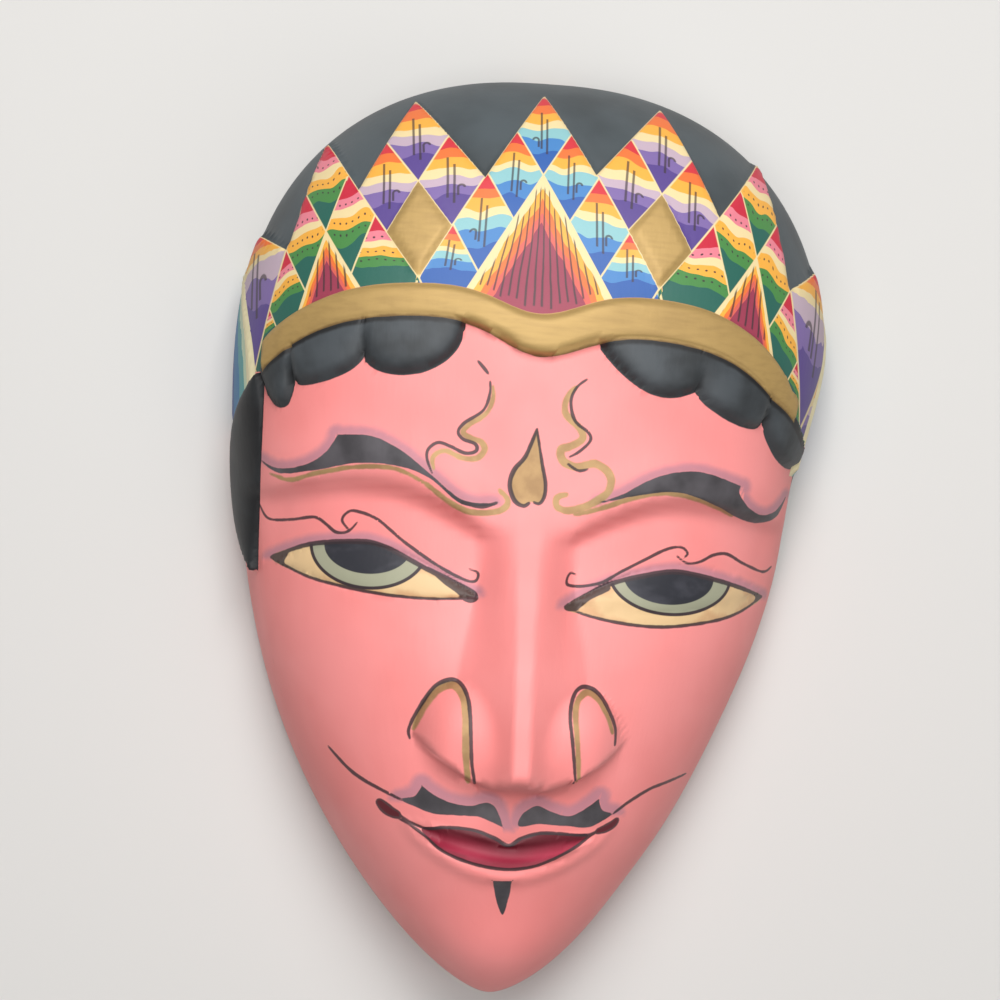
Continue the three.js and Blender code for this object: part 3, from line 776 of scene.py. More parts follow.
def stroke_field(x, y, points, half_width):
    """A brush line that thins to half at both ends."""
    line = curve(points)
    share = np.linspace(0, 1, len(line) - 1)
    return reach_of(x, y, line, half_width * (0.5 + 0.5 * np.sin(math.pi * share) ** 0.5))


def halo_field(x, y, points, width):
    """A soft shade along the upper side of a line."""
    line = curve(points)
    ordered = line[np.argsort(line[:, 0])]
    return np.minimum(reach_of(x, y, line, np.full(len(line), width)), y - np.interp(x, *ordered.T) + 0.4)


def shape_field(x, y, points):
    """A filled outline."""
    line = curve(points, closed=True)
    line = np.vstack([line, line[:1]])
    away = reach_of(x, y, line, np.zeros(len(line)))
    inside = np.zeros(len(x), bool)
    for (ax, ay), (bx, by) in zip(line, line[1:]):
        crosses = (ay > y) != (by > y)
        inside ^= crosses & (x < ax + (y - ay) * (bx - ax) / (by - ay if by != ay else 1))
    return np.where(inside, -away, away)


def paint_brows(here, colour):
    colour = cover(colour, edge(shaky(here, layer(here, "mauve"), 0.3), 0.9) * 0.8, MAUVE)
    gold = edge(shaky(here, layer(here, "gold"), 0.25), 0.2)
    gold_masks.append(gold)
    line = cover(GOLD_LINE, edge(clouds(here, 260) - 0.52, 0.15) * 0.6, GOLD_LINE_DARK)
    colour = cover(colour, gold * 0.92, line)
    dark = cover(CHARCOAL, edge(clouds(here, 120) - 0.5, 0.2), CHARCOAL_DARK)
    return cover(colour, edge(shaky(here, layer(here, "dark"), 0.15)), dark)


# The eyes: almonds cut slightly into the lids and painted cream, with a grey-green iris, a dark pupil that
# the upper lid cuts flat, an ink outline, and a mauve lid with a thin curling line above it.
EYE_INNER_X, EYE_OUTER_X, EYE_INNER_Y, EYE_OUTER_Y = 9.2, 52.7, -12.8, -8.4
EYE_UPPER, EYE_LOWER, EYE_DEPTH, EYE_BALL, EYE_LID_FROM = 7.4, 3.4, 1, 1.6, 0.9
LID_HALO, LID_LINE, LOW_LID_LINE, CURL_LINE = 1.9, 0.5, 0.32, 0.29
LID_UPPER = {
    "left": [(-53, -7.8), (-45, -4.5), (-36, -3.2), (-29.5, -3.6), (-20, -7.8), (-9.9, -12.2)],
    "right": [(52.8, -9.4), (44, -7), (33, -5.1), (26.5, -5.8), (17, -8.6), (8.5, -13.5)],
}
LID_LOWER = {
    "left": [(-9.9, -13), (-18, -13.7), (-25, -13.7), (-31, -13.3), (-38, -12.4), (-45, -11), (-53, -7.8)],
    "right": [(8.5, -13.5), (13.4, -15.1), (21, -16.3), (30, -16.5), (40.5, -14.9), (47, -12.8),
              (52.8, -9.4)],
}
EYE_CORNERS = [
    [(-53.2, -7.8), (-50.5, -6.4), (-49.2, -6.6), (-50, -8.4), (-49.2, -9.7)],
    [(-20, -7.3), (-15, -9.3), (-10.4, -11.3), (-9.2, -12.9), (-10.4, -14), (-12, -13.7), (-13.6, -12.2),
     (-16.5, -10.4)],
    [(8.3, -13.7), (12.4, -10.8), (16.5, -8.7), (17.5, -9.6), (13.6, -11.8), (12.1, -13.2), (10.5, -14.4)],
    [(53, -9.4), (49.5, -8.4), (51, -9.6), (50.4, -11)],
]
IRIS = {"left": (-32.3, -4, 12, 8.5), "right": (30.6, -6.1, 13.2, 7.8)}
PUPIL = {"left": (-32.5, -4, 9, 5.6), "right": (30.1, -6.4, 9.8, 5.5)}
SCLERA = srgb(224, 190, 142)
SCLERA_SHADE = srgb(200, 148, 106)
IRIS_GREY = srgb(160, 160, 136)
PUPIL_DARK = srgb(44, 45, 52)
PUPIL_LIGHT = srgb(74, 74, 82)
halos += [(LID_UPPER[side], LID_HALO) for side in LID_UPPER]
ink_strokes += [(LID_UPPER[side], LID_LINE) for side in LID_UPPER]
ink_strokes += [(LID_LOWER[side], LOW_LID_LINE) for side in LID_LOWER]
ink_strokes += [
    ([(-56.3, 3.3), (-54, 0.4), (-49, 0.5), (-44, 1.3), (-41.4, 0), (-39.2, -1.5), (-36.7, -1.2),
      (-34.9, 0.8)], CURL_LINE),
    ([(-36.5, -0.9), (-38.1, 1), (-37.1, 2.7), (-35.3, 3.1), (-30.8, 1.7), (-25.2, -2.4), (-18.6, -6.5),
      (-12.9, -9.2), (-10.1, -9.6), (-9.6, -7.9), (-11.4, -7.2)], CURL_LINE),
    ([(10.4, -6.9), (9.1, -6.7), (8.6, -8.9), (11.6, -9.2), (15.9, -8.1), (19.9, -5.6), (24.8, -2.8),
      (29.1, -0.5), (32.1, 0.1), (33.7, -1), (33.1, -1.9)], CURL_LINE),
    ([(31.4, -1.8), (33.7, -3.1), (36.5, -2.7), (39.5, -1.1), (42.7, -0.7), (46.7, -2.4), (52.3, -4),
      (54.8, -2.8)], CURL_LINE),
]


def eye_relief(across, y):
    along = clamp01((across - EYE_INNER_X) / (EYE_OUTER_X - EYE_INNER_X))
    arc = np.sin(math.pi * along)
    level = EYE_INNER_Y + (EYE_OUTER_Y - EYE_INNER_Y) * along
    high = (y - level) / (EYE_UPPER * arc + 0.01)
    low = (level - y) / (EYE_LOWER * arc + 0.01)
    share = np.where(y > level, high, low)
    return EYE_DEPTH * (EYE_BALL * rounded(share, 2, 2) - 1) * (1 - smooth(EYE_LID_FROM, 1, share))


def oval_field(x, y, oval):
    middle_x, middle_y, half_width, half_height = oval
    off_x, off_y = (x - middle_x) / half_width, (y - middle_y) / half_height
    share = np.hypot(off_x, off_y) + 1e-6
    steep = np.hypot(off_x / half_width, off_y / half_height) / share + 1e-6
    return np.clip((1 - share) / steep, FAR, -FAR)


def eye_fields(x, y):
    eye, iris, pupil = [np.full(len(x), FAR) for _ in range(3)]
    for side in LID_UPPER:
        eye = np.maximum(eye, shape_field(x, y, LID_UPPER[side] + LID_LOWER[side][1:-1]))
        iris = np.maximum(iris, oval_field(x, y, IRIS[side]))
        pupil = np.maximum(pupil, oval_field(x, y, PUPIL[side]))
    return eye, iris, pupil


def paint_eyes(here, colour):
    eye, iris, pupil = layers(here, "eye")
    # The white has brush streaks and is painted darker towards the lids as shade.
    ball = cover(SCLERA, edge(clouds(here, 160) + (0.6 - eye) * 0.12 - 0.5, 0.12) * 0.6, SCLERA_SHADE)
    ball = cover(ball, edge(iris), IRIS_GREY)
    ball = cover(ball, edge(0.34 - abs(iris)), INK)
    deep = cover(PUPIL_DARK, edge(clouds(here, 220, stretch=(0.3, 1, 1)) - 0.55, 0.12) * 0.6, PUPIL_LIGHT)
    ball = cover(ball, edge(pupil), deep)
    return cover(colour, edge(eye), ball)


# The nose: a long flat ridge with plain sides, two swollen nostrils and an underside cut back to the lip.
# Each nostril has a painted loop, an ink line with gold inside it.
NOSE_BRIDGE_Y, NOSE_TIP_Y, NOSE_HEIGHT = 8, -46, 15
NOSE_RISE, NOSE_SIDE, NOSE_WIDE_Y = 1.2, 1.15, -34
NOSE_BRIDGE, NOSE_RIDGE, NOSE_BRIDGE_BASE, NOSE_BASE, NOSE_LEAN = 2.2, 1.7, 9, 13.5, 1.2
NOSTRIL_X, NOSTRIL_Y, NOSTRIL_WIDE, NOSTRIL_LONG, NOSTRIL_HEIGHT = 13, -44, 9, 14, 8
NOSTRIL_FLATNESS, NOSTRIL_SLOPE = 2.4, 1.1
UNDER_Y, UNDER_RISE, UNDER_AT, UNDER_POWER = -52.9, 10.4, 21, 1.9
UNDER_SLOPE, UNDER_WING_SLOPE, UNDER_TIP = 4.7, 1.4, 4.5
gold_strokes += [
    ([(-20.6, -40.4), (-19, -36.2), (-16.5, -32.2), (-13.8, -30.8), (-11.8, -31.6), (-10.6, -34.5),
      (-10.1, -40), (-9.6, -46), (-8.8, -50.4)], 0.85),
    ([(13.4, -49), (12.6, -41.4), (11.8, -35.4), (12.3, -32.2), (14.2, -30.6), (16.4, -31.8), (18.4, -34.8),
      (19.9, -38.5)], 0.65),
]
ink_strokes += [
    ([(-21.2, -42.5), (-21.5, -40.5), (-19.9, -36.4), (-17, -31.6), (-13.9, -29.8), (-11.7, -30.4),
      (-10.2, -32.8), (-9.5, -36), (-9, -41), (-8.5, -46), (-7.5, -50.5)], 0.4),
    ([(12.8, -49.5), (11.6, -41.4), (10.7, -35.4), (11.2, -31.8), (12.4, -29.9), (14.3, -29.6), (16.7, -30.9),
      (18.9, -34.1), (20.5, -37.7), (20.6, -41)], 0.4),
]


def under_rise(across):
    return UNDER_RISE * clamp01(across / UNDER_AT) ** UNDER_POWER


def nose_relief(x, y):
    along = clamp01((NOSE_BRIDGE_Y - y) / (NOSE_BRIDGE_Y - NOSE_TIP_Y))
    across = np.abs(x - NOSE_LEAN * along)
    height = NOSE_HEIGHT * along ** NOSE_RISE
    toward_tip = smooth(0, NOSE_WIDE_Y, y)
    flat = NOSE_BRIDGE + (NOSE_RIDGE - NOSE_BRIDGE) * toward_tip
    base = NOSE_BRIDGE_BASE + (NOSE_BASE - NOSE_BRIDGE_BASE) * toward_tip
    ridge = height * (1 - clamp01((across - flat) / (base - flat))) ** NOSE_SIDE
    from_wing = np.hypot((across - NOSTRIL_X) / NOSTRIL_WIDE, (y - NOSTRIL_Y) / NOSTRIL_LONG)
    swollen = NOSTRIL_HEIGHT * rounded(from_wing, NOSTRIL_FLATNESS, NOSTRIL_SLOPE)
    under = UNDER_Y + under_rise(across)
    slope = UNDER_WING_SLOPE + (UNDER_SLOPE - UNDER_WING_SLOPE) * bell(across / UNDER_TIP)
    return np.hypot(ridge, swollen) * smooth(under, under + slope, y)


# The mouth and chin: a low muzzle with two lips, a parting and a rim under the lower lip. The lips are
# crimson with dark outlines. The moustache, the dots at the corners and the small beard are only painted.
MUZZLE_Y, MUZZLE_WIDE, MUZZLE_LONG, MUZZLE_HEIGHT = -61, 30, 14, 2.6
MUZZLE_STEEPNESS = 1.3
PARTING_Y, PARTING_LIFT, PARTING_POWER, PARTING_CORNER, PARTING_DEPTH = -63.6, 4.6, 2.2, 22.5, 0.3
PARTING_REACH, LIP_BOW_REACH = 0.9, 3.5
LIP_UP, LIP_BOW, LIP_DOWN, LIP_UP_HEIGHT, LIP_DOWN_HEIGHT = 3.4, 2.4, 4.8, 0.6, 1.2
RIM_Y, RIM_LIFT, RIM_POWER, RIM_CORNER, RIM_HEIGHT = -70.3, 10.3, 1.9, 22, 1
RIM_REACH, RIM_EASE_FROM, RIM_EASE_TO = 1.4, 18, 24
CHIN_Y, CHIN_WIDE, CHIN_LONG, CHIN_HEIGHT = -91, 16, 10, 2.6
LIP_TOP = [(-17.3, -60.8), (-13, -60.2), (-7.2, -60.2), (-2.6, -61.6), (0.4, -63), (2.9, -61.3), (6.6, -60.1),
           (11.2, -60.1), (16.8, -60.3)]
LIP_BOTTOM = [(14.5, -62.8), (9.7, -65.6), (5.5, -67.4), (0, -68.2), (-6.7, -67.4), (-12.9, -65.3),
              (-16.5, -62.6)]
PARTING = [(-17, -61.4), (-8, -62.6), (0.5, -64.2), (8, -62.6), (16.5, -60.8)]
CORNERS = [([(-26.6, -56.6), (-25.5, -57.5), (-24.2, -58.3), (-22.6, -58.8)], 1.2),
           ([(18.8, -59.7), (20.5, -59.1), (22, -58.3), (22.9, -57.3)], 0.9)]
CORNER_FILL, MOUSTACHE_HALO, LIP_LINE = 0.6, 2.2, 0.34
CRIMSON = srgb(178, 44, 72)
CRIMSON_DARK = srgb(96, 14, 30)
CRIMSON_HIGHLIGHT = srgb(210, 92, 112)
MOUSTACHE_UPPER = [
    [(-22.3, -55.4), (-19.5, -54.4), (-18, -52.1), (-18, -52.1), (-15.5, -53.7), (-12, -55), (-8, -55.3),
     (-4.6, -54.4), (-2.7, -55.5), (-1, -59.3), (-1, -59.3)],
    [(2.2, -58.8), (2.8, -56.2), (5.5, -54.5), (8.6, -55.5), (12, -56.4), (14.7, -55.5), (18.5, -52.7),
     (18.5, -52.7), (19.5, -55.1), (22, -55.9), (22, -55.9)],
]
MOUSTACHE_LOWER = [
    [(-3.5, -58.3), (-6.3, -57.4), (-10.5, -57.5), (-15.2, -57.6), (-19, -56.6)],
    [(17.3, -58.6), (12.2, -58.5), (6.7, -58.2)],
]
BEARD = [(-2.2, -70.8), (-2.2, -70.8), (1.7, -70.6), (1.7, -70.6), (1.5, -74), (0.6, -78.3), (-0.6, -76.5),
         (-1.6, -73.5)]
dark_shapes += [upper + lower for upper, lower in zip(MOUSTACHE_UPPER, MOUSTACHE_LOWER)] + [BEARD]
halos += [(upper, MOUSTACHE_HALO) for upper in MOUSTACHE_UPPER]
ink_strokes += [
    ([(-38, -46.4), (-34, -50), (-30.7, -52.1), (-26.6, -53.8), (-22, -55.5)], 0.36),
    ([(22, -55.9), (25, -53.6), (29.7, -50.9), (33.8, -49.6), (38.6, -48.3)], 0.34),
    ([(-24.5, -57.8)] + LIP_TOP + [(21, -58.4)], LIP_LINE),
    ([(-22.5, -59.4), (-19.6, -60.7)] + LIP_BOTTOM[::-1] + [(18, -60.1), (21.3, -58.2)], LIP_LINE),
    *CORNERS,
]


def mouth_relief(across, y):
    from_middle = np.hypot(across / MUZZLE_WIDE, (y - MUZZLE_Y) / MUZZLE_LONG)
    mound = MUZZLE_HEIGHT * bell(from_middle * MUZZLE_STEEPNESS)
    to_corner = clamp01(across / PARTING_CORNER)
    parting_y = PARTING_Y + PARTING_LIFT * to_corner ** PARTING_POWER
    upper = (LIP_UP - LIP_BOW * bell(across / LIP_BOW_REACH)) * rounded(to_corner, 3, 1)
    lower = LIP_DOWN * rounded(to_corner, 2, 1)
    fullness = 1 - to_corner ** 3
    upper_lip = LIP_UP_HEIGHT * fullness * np.sin(math.pi * clamp01((y - parting_y) / (upper + 0.01))) ** 2
    lower_lip = LIP_DOWN_HEIGHT * fullness * np.sin(math.pi * clamp01((parting_y - y) / (lower + 0.01))) ** 2
    groove = PARTING_DEPTH * bell((y - parting_y) / PARTING_REACH) * (1 - to_corner ** 4)
    rim_y = RIM_Y + RIM_LIFT * (across / RIM_CORNER) ** RIM_POWER
    rim = RIM_HEIGHT * bell((y - rim_y) / RIM_REACH) * (1 - smooth(RIM_EASE_FROM, RIM_EASE_TO, across))
    return mound + upper_lip + lower_lip - groove + rim


def chin_relief(across, y):
    return CHIN_HEIGHT * bell(across / CHIN_WIDE) * bell((y - CHIN_Y) / CHIN_LONG)


def mouth_fields(x, y):
    lips = shape_field(x, y, LIP_TOP + LIP_BOTTOM)
    corners = np.max([stroke_field(x, y, line, half * CORNER_FILL) for line, half in CORNERS], axis=0)
    return lips, corners, np.interp(x, *curve(PARTING).T) - y


def paint_mouth(here, colour):
    lips, _, under = layers(here, "mouth")
    # Painted highlight low on the lower lip, and painted shade over the upper lip and the parting.
    paint = cover(CRIMSON, edge(under - 3.1, 1.2) * 0.8, CRIMSON_HIGHLIGHT)
    paint = cover(paint, edge(1.0 - under, 2.4), CRIMSON_DARK)
    return cover(colour, edge(shaky(here, lips, 0.12)), paint)


def paint_ink(here, colour):
    colour = cover(colour, edge(shaky(here, layer(here, "ink") + 0.04, 0.14), 0.12) * 0.94, INK)
    return cover(colour, edge(layers(here, "mouth")[1]) * 0.85, CRIMSON_DARK)


# The carved mask itself: one mesh over the whole block, finest along the painted lines, hollow behind with
# gouge marks, and flat on the rim that it lies on. The front is painted, the back is bare wood.
ROWS, COLUMNS, HOLLOW_COLUMNS = 210, 180, 60
MIDDLE_FINENESS, MIDDLE_REACH, FINE_STEPS = 0.5, 0.25, 4001
BEND_FROM_Y, BEND_FULL_Y, BEND_EASE_Y, NOSE_BEND_REACH = -15, 35, 60, 14
FACE_FULL_DEPTH, TEMPLE_FADE = 12, 0.02
GOUGE_DEPTH, GOUGE_LONG, GOUGE_WIDE, GOUGE_SWING, GOUGE_SWING_LONG, GOUGE_SHIFT = 0.5, 17, 5.5, 0.3, 23, 0.37
GOUGE_FROM_DEPTH, GOUGE_FULL_DEPTH, MARK_DEPTH = 2, 10, 0.4
FIRST_REACH, SECOND_REACH, REACH_ONCE, COARSE_FROM_WAY = 1.3, 0.6, 0.6, 0.985
PAINT_ROUGH, PAINT_ROUGH_SPREAD, PAINT_MARKS, GOLD_ROUGHER, GOLD_METAL = 0.5, 0.14, 0.12, 0.03, 0.3
WOOD_ROUGH, WOOD_MARKS = 0.62, 0.3
WOOD = srgb(206, 172, 126)
WOOD_DARK = srgb(160, 122, 82)


def ornament_relief(x, y, way):
    temple = np.maximum(wing_relief(y, way), leaf_relief(y, way))
    before = 1 - smooth(TEMPLE_FRONT, TEMPLE_FRONT + TEMPLE_FADE, np.abs(way))
    brow = np.maximum(band_relief(x, y) * before, hair_relief(x, y))
    return np.maximum(np.maximum(temple, brow), crown_relief(x, y, way))


def face_relief(x, y):
    across = np.abs(x)
    return (brow_relief(across, y) + eye_relief(across, y) + nose_relief(x, y)
            + mouth_relief(across, y) + chin_relief(across, y))


def row_y(row, way):
    """Rows run level at chin and crown, and bend to follow the band and the nose."""
    x = middle_x(row) + outline(row, way) * np.sin(way * math.pi / 2)
    by_band = smooth(BEND_FROM_Y, BEND_FULL_Y, row) * (1 - smooth(BEND_EASE_Y, HALF_HEIGHT, row))
    by_nose = bell((row - UNDER_Y) / NOSE_BEND_REACH) * smooth(-HALF_HEIGHT, CHIN_Y, row)
    return row + by_band * (band_top(x) - band_top(0.0)) + by_nose * under_rise(np.abs(x - NOSE_LEAN))


def front_point(row, way):
    y = row_y(row, way)
    point = dome(y, way)
    raised = ornament_relief(point[:, 0], y, way)
    on_face = smooth(0, FACE_FULL_DEPTH, point[:, 2]) * face_relief(point[:, 0], y)
    carved = point + dome_normal(point, way) * raised[:, None]
    carved[:, 2] += on_face
    return carved


def hollow_point(row, way):
    inside = np.array([(HALF_WIDTH - WALL) / HALF_WIDTH, (HALF_HEIGHT - WALL) / HALF_HEIGHT,
                       HOLLOW_DEPTH / DOME_DEPTH])
    point = dome(row_y(row, way), way) * inside
    lane = point[:, 0] / GOUGE_WIDE + GOUGE_SWING * np.sin(point[:, 1] / GOUGE_SWING_LONG)
    scoop = np.abs(np.sin(math.pi * (point[:, 1] / GOUGE_LONG + GOUGE_SHIFT * np.floor(lane))))
    dished = np.abs(np.sin(math.pi * lane))
    deep_enough = smooth(GOUGE_FROM_DEPTH, GOUGE_FULL_DEPTH, point[:, 2])
    point[:, 2] -= GOUGE_DEPTH * deep_enough * (1 - dished * scoop ** 0.5)
    return point


def spread(first, last, count, weight):
    """Steps from first to last, shorter where the weight is high."""
    fine = np.linspace(first, last, FINE_STEPS)
    sums = np.concatenate([[0], np.cumsum(weight((fine[1:] + fine[:-1]) / 2))])
    return np.interp(np.linspace(0, sums[-1], count), sums, fine)


def paint_fields(row, way):
    """Everything that the paint follows, at places on the front."""
    y = row_y(row, way)
    x = dome(y, way)[:, 0]
    behind = behind_wing_edge(y, way) * WAY_TO_MM
    return {
        "band": band_field(x, y, way),
        "below_top": band_top(x) - y,
        "hair": np.stack([hair_field(x, y), seam(x, y), below_band(x, y)], axis=1),
        "fans": fan_fields(x, y, way),
        "peaks": peak_fields(x, y),
        "temple": np.stack([wing_field(y, way), leaf_field(y, way), behind], axis=1),
        "eye": np.stack(eye_fields(x, y), axis=1),
        "mouth": np.stack(mouth_fields(x, y), axis=1),
        "ink": np.max([stroke_field(x, y, *stroke) for stroke in ink_strokes]
                      + [shape_field(x, y, shape) for shape in EYE_CORNERS], axis=0),
        "mauve": np.max([halo_field(x, y, *halo) for halo in halos], axis=0),
        "dark": np.max([shape_field(x, y, shape) for shape in dark_shapes], axis=0),
        "gold": np.max([stroke_field(x, y, *stroke) for stroke in gold_strokes]
                       + [shape_field(x, y, DROP)], axis=0),
    }


def nearness(fields):
    """Distance to the nearest painted or carved edge."""
    edges = [fields["band"], fields["hair"][:, 0], fields["ink"], fields["dark"], fields["gold"],
             fields["eye"][:, 0], fields["mouth"][:, 0], fields["temple"][:, 0], fields["temple"][:, 1]]
    on_eye = fields["eye"][:, 0] > 0
    edges += [np.where(on_eye, fields["eye"][:, k], -FAR) for k in (1, 2)]
    tips = np.where(fields["fans"][:, 2] > 0, fields["peaks"][:, 2], -FAR)
    once = [np.abs(tips) + REACH_ONCE, np.abs(fields["mauve"]) + REACH_ONCE]
    return np.min(np.vstack([np.abs(edges), once]), axis=0)


def split_edges(places, triangles, chosen):
    """Halves every edge whose two ends are chosen, and parts the triangles beside it to match."""
    ends = np.sort(triangles[:, [[0, 1], [1, 2], [2, 0]]], axis=2).reshape(-1, 2)
    code, which = np.unique(ends[:, 0] * len(places) + ends[:, 1], return_inverse=True)
    pairs = np.stack([code // len(places), code % len(places)], axis=1)
    split = chosen[pairs].all(axis=1)
    middle = np.where(split, len(places) + np.cumsum(split) - 1, -1)[which].reshape(-1, 3)
    cut = middle >= 0
    count = cut.sum(axis=1)
    turn = np.where(count == 2, np.argmin(cut, axis=1) + 1, np.argmax(cut, axis=1))
    order = (turn[:, None] + np.arange(3)) % 3
    a, b, c = np.take_along_axis(triangles, order, axis=1).T
    m, n, o = np.take_along_axis(middle, order, axis=1).T
    patterns = {0: [(a, b, c)], 1: [(a, m, c), (m, b, c)], 2: [(m, b, n), (a, m, n), (a, n, c)],
                3: [(a, m, o), (m, b, n), (o, n, c), (m, n, o)]}
    parts = [np.stack(corners, axis=1)[count == k] for k, made in patterns.items() for corners in made]
    return np.vstack([places, places[pairs[split]].mean(axis=1)]), np.vstack(parts)


def net(rows, columns):
    """Corner numbers of the triangles of a net of rows and columns, rows counted first."""
    corner = np.arange(rows * columns).reshape(rows, columns)
    a, b, c, d = corner[:-1, :-1], corner[:-1, 1:], corner[1:, 1:], corner[1:, :-1]
    return np.vstack([np.stack(corners, axis=-1).reshape(-1, 3) for corners in ([a, b, c], [a, c, d])])


def finer_at_ends(y):
    return 1 / np.sqrt(1.002 - (y / HALF_HEIGHT) ** 2)


def finer_in_middle(way):
    return 1 + MIDDLE_FINENESS * bell(way / MIDDLE_REACH)


def crossings(rows, ways):
    """Every place of a net, row after row."""
    return np.stack(np.meshgrid(rows, ways, indexing="ij"), axis=-1).reshape(-1, 2)


row_steps = spread(-HALF_HEIGHT, HALF_HEIGHT, ROWS, finer_at_ends)[1:-1]
way_steps = spread(-1, 1, COLUMNS, finer_in_middle)
front_faces = net(len(row_steps), len(way_steps))
places = crossings(row_steps, way_steps)
for reach in (FIRST_REACH, SECOND_REACH):
    close = (nearness(paint_fields(*places.T)) < reach) & (np.abs(places[:, 1]) < COARSE_FROM_WAY)
    places, front_faces = split_edges(places, front_faces, close)
fields = paint_fields(*places.T)
front = front_point(*places.T)

# The hollow and the two pole points close the mesh at chin and crown.
hollow = hollow_point(*crossings(row_steps, np.linspace(-1, 1, HOLLOW_COLUMNS)).T)
hollow_faces = net(len(row_steps), HOLLOW_COLUMNS)[:, ::-1] + len(front)
edge_rows = np.arange(len(row_steps))
last = len(way_steps) - 1
rim_front = {-1: edge_rows * len(way_steps), 1: edge_rows * len(way_steps) + last}
rim_back = {-1: len(front) + edge_rows * HOLLOW_COLUMNS,
            1: len(front) + edge_rows * HOLLOW_COLUMNS + HOLLOW_COLUMNS - 1}
rim_faces = []
for side in (-1, 1):
    outer, inner = rim_front[side], rim_back[side]
    strip = np.vstack([np.stack([outer[:-1], outer[1:], inner[1:]], axis=1),
                       np.stack([outer[:-1], inner[1:], inner[:-1]], axis=1)])
    rim_faces.append(strip if side > 0 else strip[:, ::-1])
pole_faces = []
poles = len(front) + len(hollow)
for pole, row in ((poles, 0), (poles + 1, len(row_steps) - 1)):
    ring = np.concatenate([row * len(way_steps) + np.arange(len(way_steps)),
                           len(front) + row * HOLLOW_COLUMNS + np.arange(HOLLOW_COLUMNS)[::-1]])
    fan = np.stack([ring, np.roll(ring, -1), np.full(len(ring), pole)], axis=1)
    pole_faces.append(fan[:, ::-1] if row == 0 else fan)

points = np.vstack([front, hollow, [[0, -HALF_HEIGHT, 0], [0, HALF_HEIGHT, 0]]]) * MM
points = np.clip(points, cad_box[0], cad_box[1])
faces = np.vstack([front_faces, hollow_faces, *rim_faces, *pole_faces])
mesh = bpy.data.meshes.new("carved_mask")
mesh.from_pydata(points.tolist(), [], faces.tolist())
for name, values in fields.items():
    wide = values.ndim > 1
    spare = len(points) - len(values)
    filled = np.concatenate([values, np.full((spare, 3) if wide else spare, FAR)])
    stored = mesh.attributes.new(name, "FLOAT_VECTOR" if wide else "FLOAT", "POINT")
    stored.data.foreach_set("vector" if wide else "value", filled.ravel())
behind_rim = np.arange(len(faces)) >= len(front_faces)
mesh.polygons.foreach_set("material_index", behind_rim.astype(np.int32))
mesh.shade_smooth()
mesh.update()
on_edge = np.zeros(len(points), int)
for side in (-1, 1):
    on_edge[rim_front[side]] = 1
    on_edge[rim_back[side]] = 2
ends = np.zeros(len(mesh.edges) * 2, int)
mesh.edges.foreach_get("vertices", ends)
first, second = on_edge[ends.reshape(-1, 2)].T
sharp = mesh.attributes.new("sharp_edge", "BOOLEAN", "EDGE")
sharp.data.foreach_set("value", (first > 0) & (first == second))


def put(name, data):
    """Puts a mesh, a lamp or a camera into the scene."""
    thing = bpy.data.objects.new(name, data)
    bpy.context.collection.objects.link(thing)
    return thing


def new_paint(name):
    """A material and its shader."""
    made = bpy.data.materials.new(name)
    made.use_nodes = True
    return made, made.node_tree.nodes["Principled BSDF"]


def places_on(paint):
    """The wire that says where on the mask a point is, in metres."""
    return Wire(paint.node_tree.nodes.new("ShaderNodeTexCoord").outputs["Object"])


def connect(shader, wires):
    for name, wire in wires.items():
        shader.id_data.links.new(wire.socket, shader.inputs[name])


def rough_surface(here, strength, height):
    sockets = {"Strength": strength, "Distance": MARK_DEPTH * MM, "Height": height}
    return here.node("Bump", {}, sockets, output="Normal")


mask = put("carved_mask", mesh)
painted, shader = new_paint("painted_front")
here = places_on(painted)
colour = paint_ground(here)
for paint in (paint_crown, paint_hair, paint_band, paint_brows, paint_eyes, paint_mouth, paint_ink,
              paint_temples):
    colour = paint(here, colour)
metal = gold_masks[0]
for more in gold_masks[1:]:
    metal = metal.math("MAXIMUM", more)
brushed = clouds(here, 700, stretch=(1, 0.25, 1))
roughness = PAINT_ROUGH + PAINT_ROUGH_SPREAD * clouds(here, 60) + GOLD_ROUGHER * metal
relief = rough_surface(here, PAINT_MARKS, brushed)
metallic = metal * GOLD_METAL
connect(shader, {"Base Color": colour, "Roughness": roughness, "Metallic": metallic, "Normal": relief})

bare, shader = new_paint("bare_wood")
here = places_on(bare)
grain = clouds(here, 260, detail=5.0, stretch=(1, 0.06, 1))
colour = cover(WOOD, edge(grain - 0.52, 0.14), WOOD_DARK)
connect(shader, {"Base Color": colour, "Normal": rough_surface(here, WOOD_MARKS, grain)})
shader.inputs["Roughness"].default_value = WOOD_ROUGH
mask.data.materials.append(painted)
mask.data.materials.append(bare)

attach(mask, "root")
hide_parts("mask")

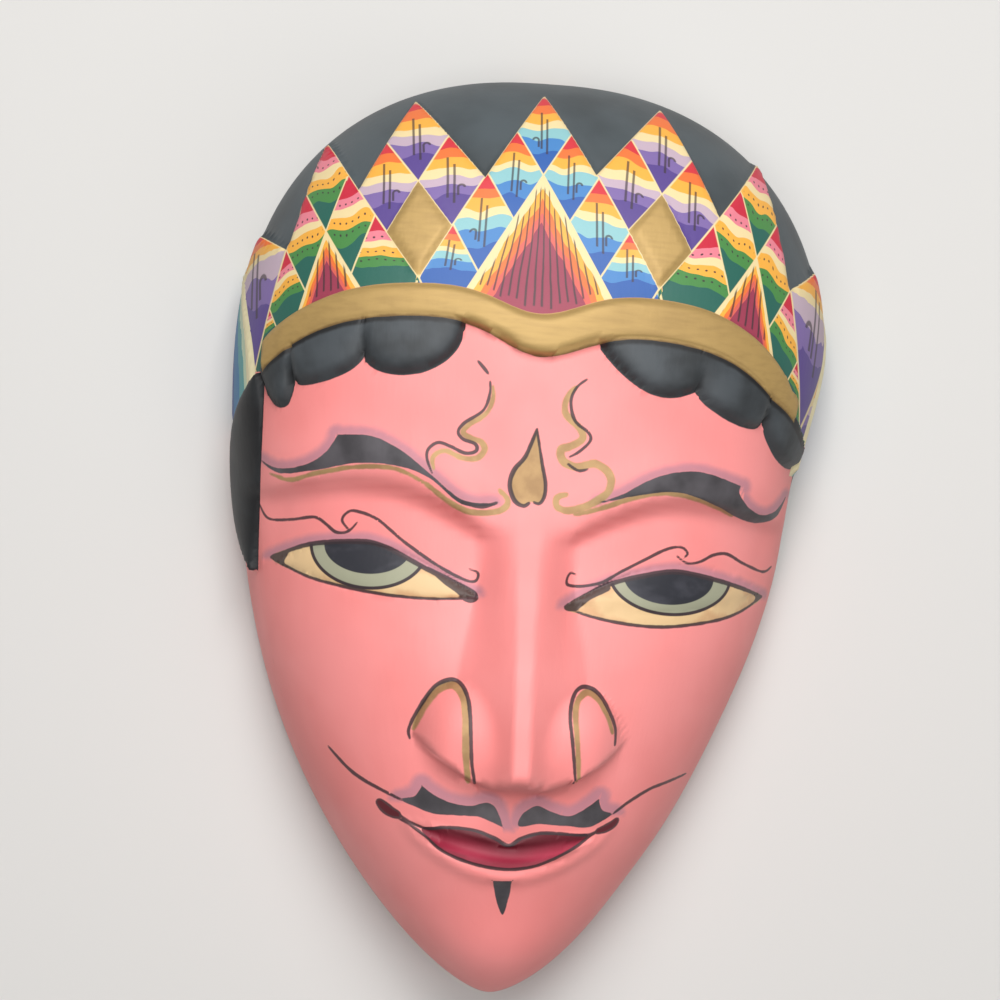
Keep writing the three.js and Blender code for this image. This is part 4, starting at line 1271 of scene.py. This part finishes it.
# The studio: a plain pale floor that the mask lies on, a large soft light from above the crown, weaker ones
# from the front and from below on the right, and a dim even room.
FLOOR_HALF, FLOOR_BELOW = 2.0, 0.0001
FLOOR_PAPER, FLOOR_ROUGH = srgb(206, 204, 201), 0.8
ROOM_LIGHT = 0.04
floor_mesh = bpy.data.meshes.new("floor")
corners = [(-1, -1), (1, -1), (1, 1), (-1, 1)]
floor_points = [(x * FLOOR_HALF, y * FLOOR_HALF, -FLOOR_BELOW) for x, y in corners]
floor_mesh.from_pydata(floor_points, [], [(0, 1, 2, 3)])
floor = put("floor", floor_mesh)
paper, shader = new_paint("floor_paper")
shader.inputs["Base Color"].default_value = FLOOR_PAPER
shader.inputs["Roughness"].default_value = FLOOR_ROUGH
floor_mesh.materials.append(paper)


def soft_light(name, place, size, watts):
    lamp = bpy.data.lights.new(name, "AREA")
    lamp.size = size
    lamp.energy = watts
    light = put(name, lamp)
    light.location = place
    light.rotation_euler = (-Vector(place)).to_track_quat("-Z", "Y").to_euler()


soft_light("key_light", place=(0, 0.53, 0.91), size=0.5, watts=9.5)
soft_light("front_light", place=(-0.15, -0.05, 1.03), size=0.6, watts=4.5)
soft_light("low_light", place=(0.4, -0.35, 0.75), size=0.6, watts=1.6)
room = bpy.data.worlds.new("room")
room.use_nodes = True
room.node_tree.nodes["Background"].inputs["Color"].default_value = (1, 1, 1, 1)
room.node_tree.nodes["Background"].inputs["Strength"].default_value = ROOM_LIGHT
bpy.context.scene.world = room
bpy.context.scene.view_settings.view_transform = "Standard"

# The camera stands over the lying mask, a little to its left and turned a little, as in the photograph.
CAMERA_YAW, CAMERA_ROLL = math.radians(-2.5), math.radians(3.8)
CAMERA_TARGET = Vector((0, 0, 0.030))
CAMERA_DISTANCE = 0.560
AIM_RIGHT, AIM_UP = -0.0048, 0.0079
LENS, SENSOR = 94.87, 36

back = Vector((math.sin(CAMERA_YAW), 0, math.cos(CAMERA_YAW)))
right = Vector((math.cos(CAMERA_YAW), 0, -math.sin(CAMERA_YAW)))
up = Vector((0, 1, 0))
rolled_right = right * math.cos(CAMERA_ROLL) + up * math.sin(CAMERA_ROLL)
rolled_up = up * math.cos(CAMERA_ROLL) - right * math.sin(CAMERA_ROLL)
place = CAMERA_TARGET + back * CAMERA_DISTANCE
aim = CAMERA_TARGET + rolled_right * AIM_RIGHT + rolled_up * AIM_UP
away = (place - aim).normalized()
level = rolled_up.cross(away).normalized()
turned = Matrix((level, away.cross(level), away)).transposed()
lens = bpy.data.cameras.new("camera")
lens.lens = LENS
lens.sensor_width = SENSOR
lens.clip_start = 0.01
camera = put("camera", lens)
camera.matrix_world = Matrix.Translation(place) @ turned.to_4x4()
bpy.context.scene.camera = camera
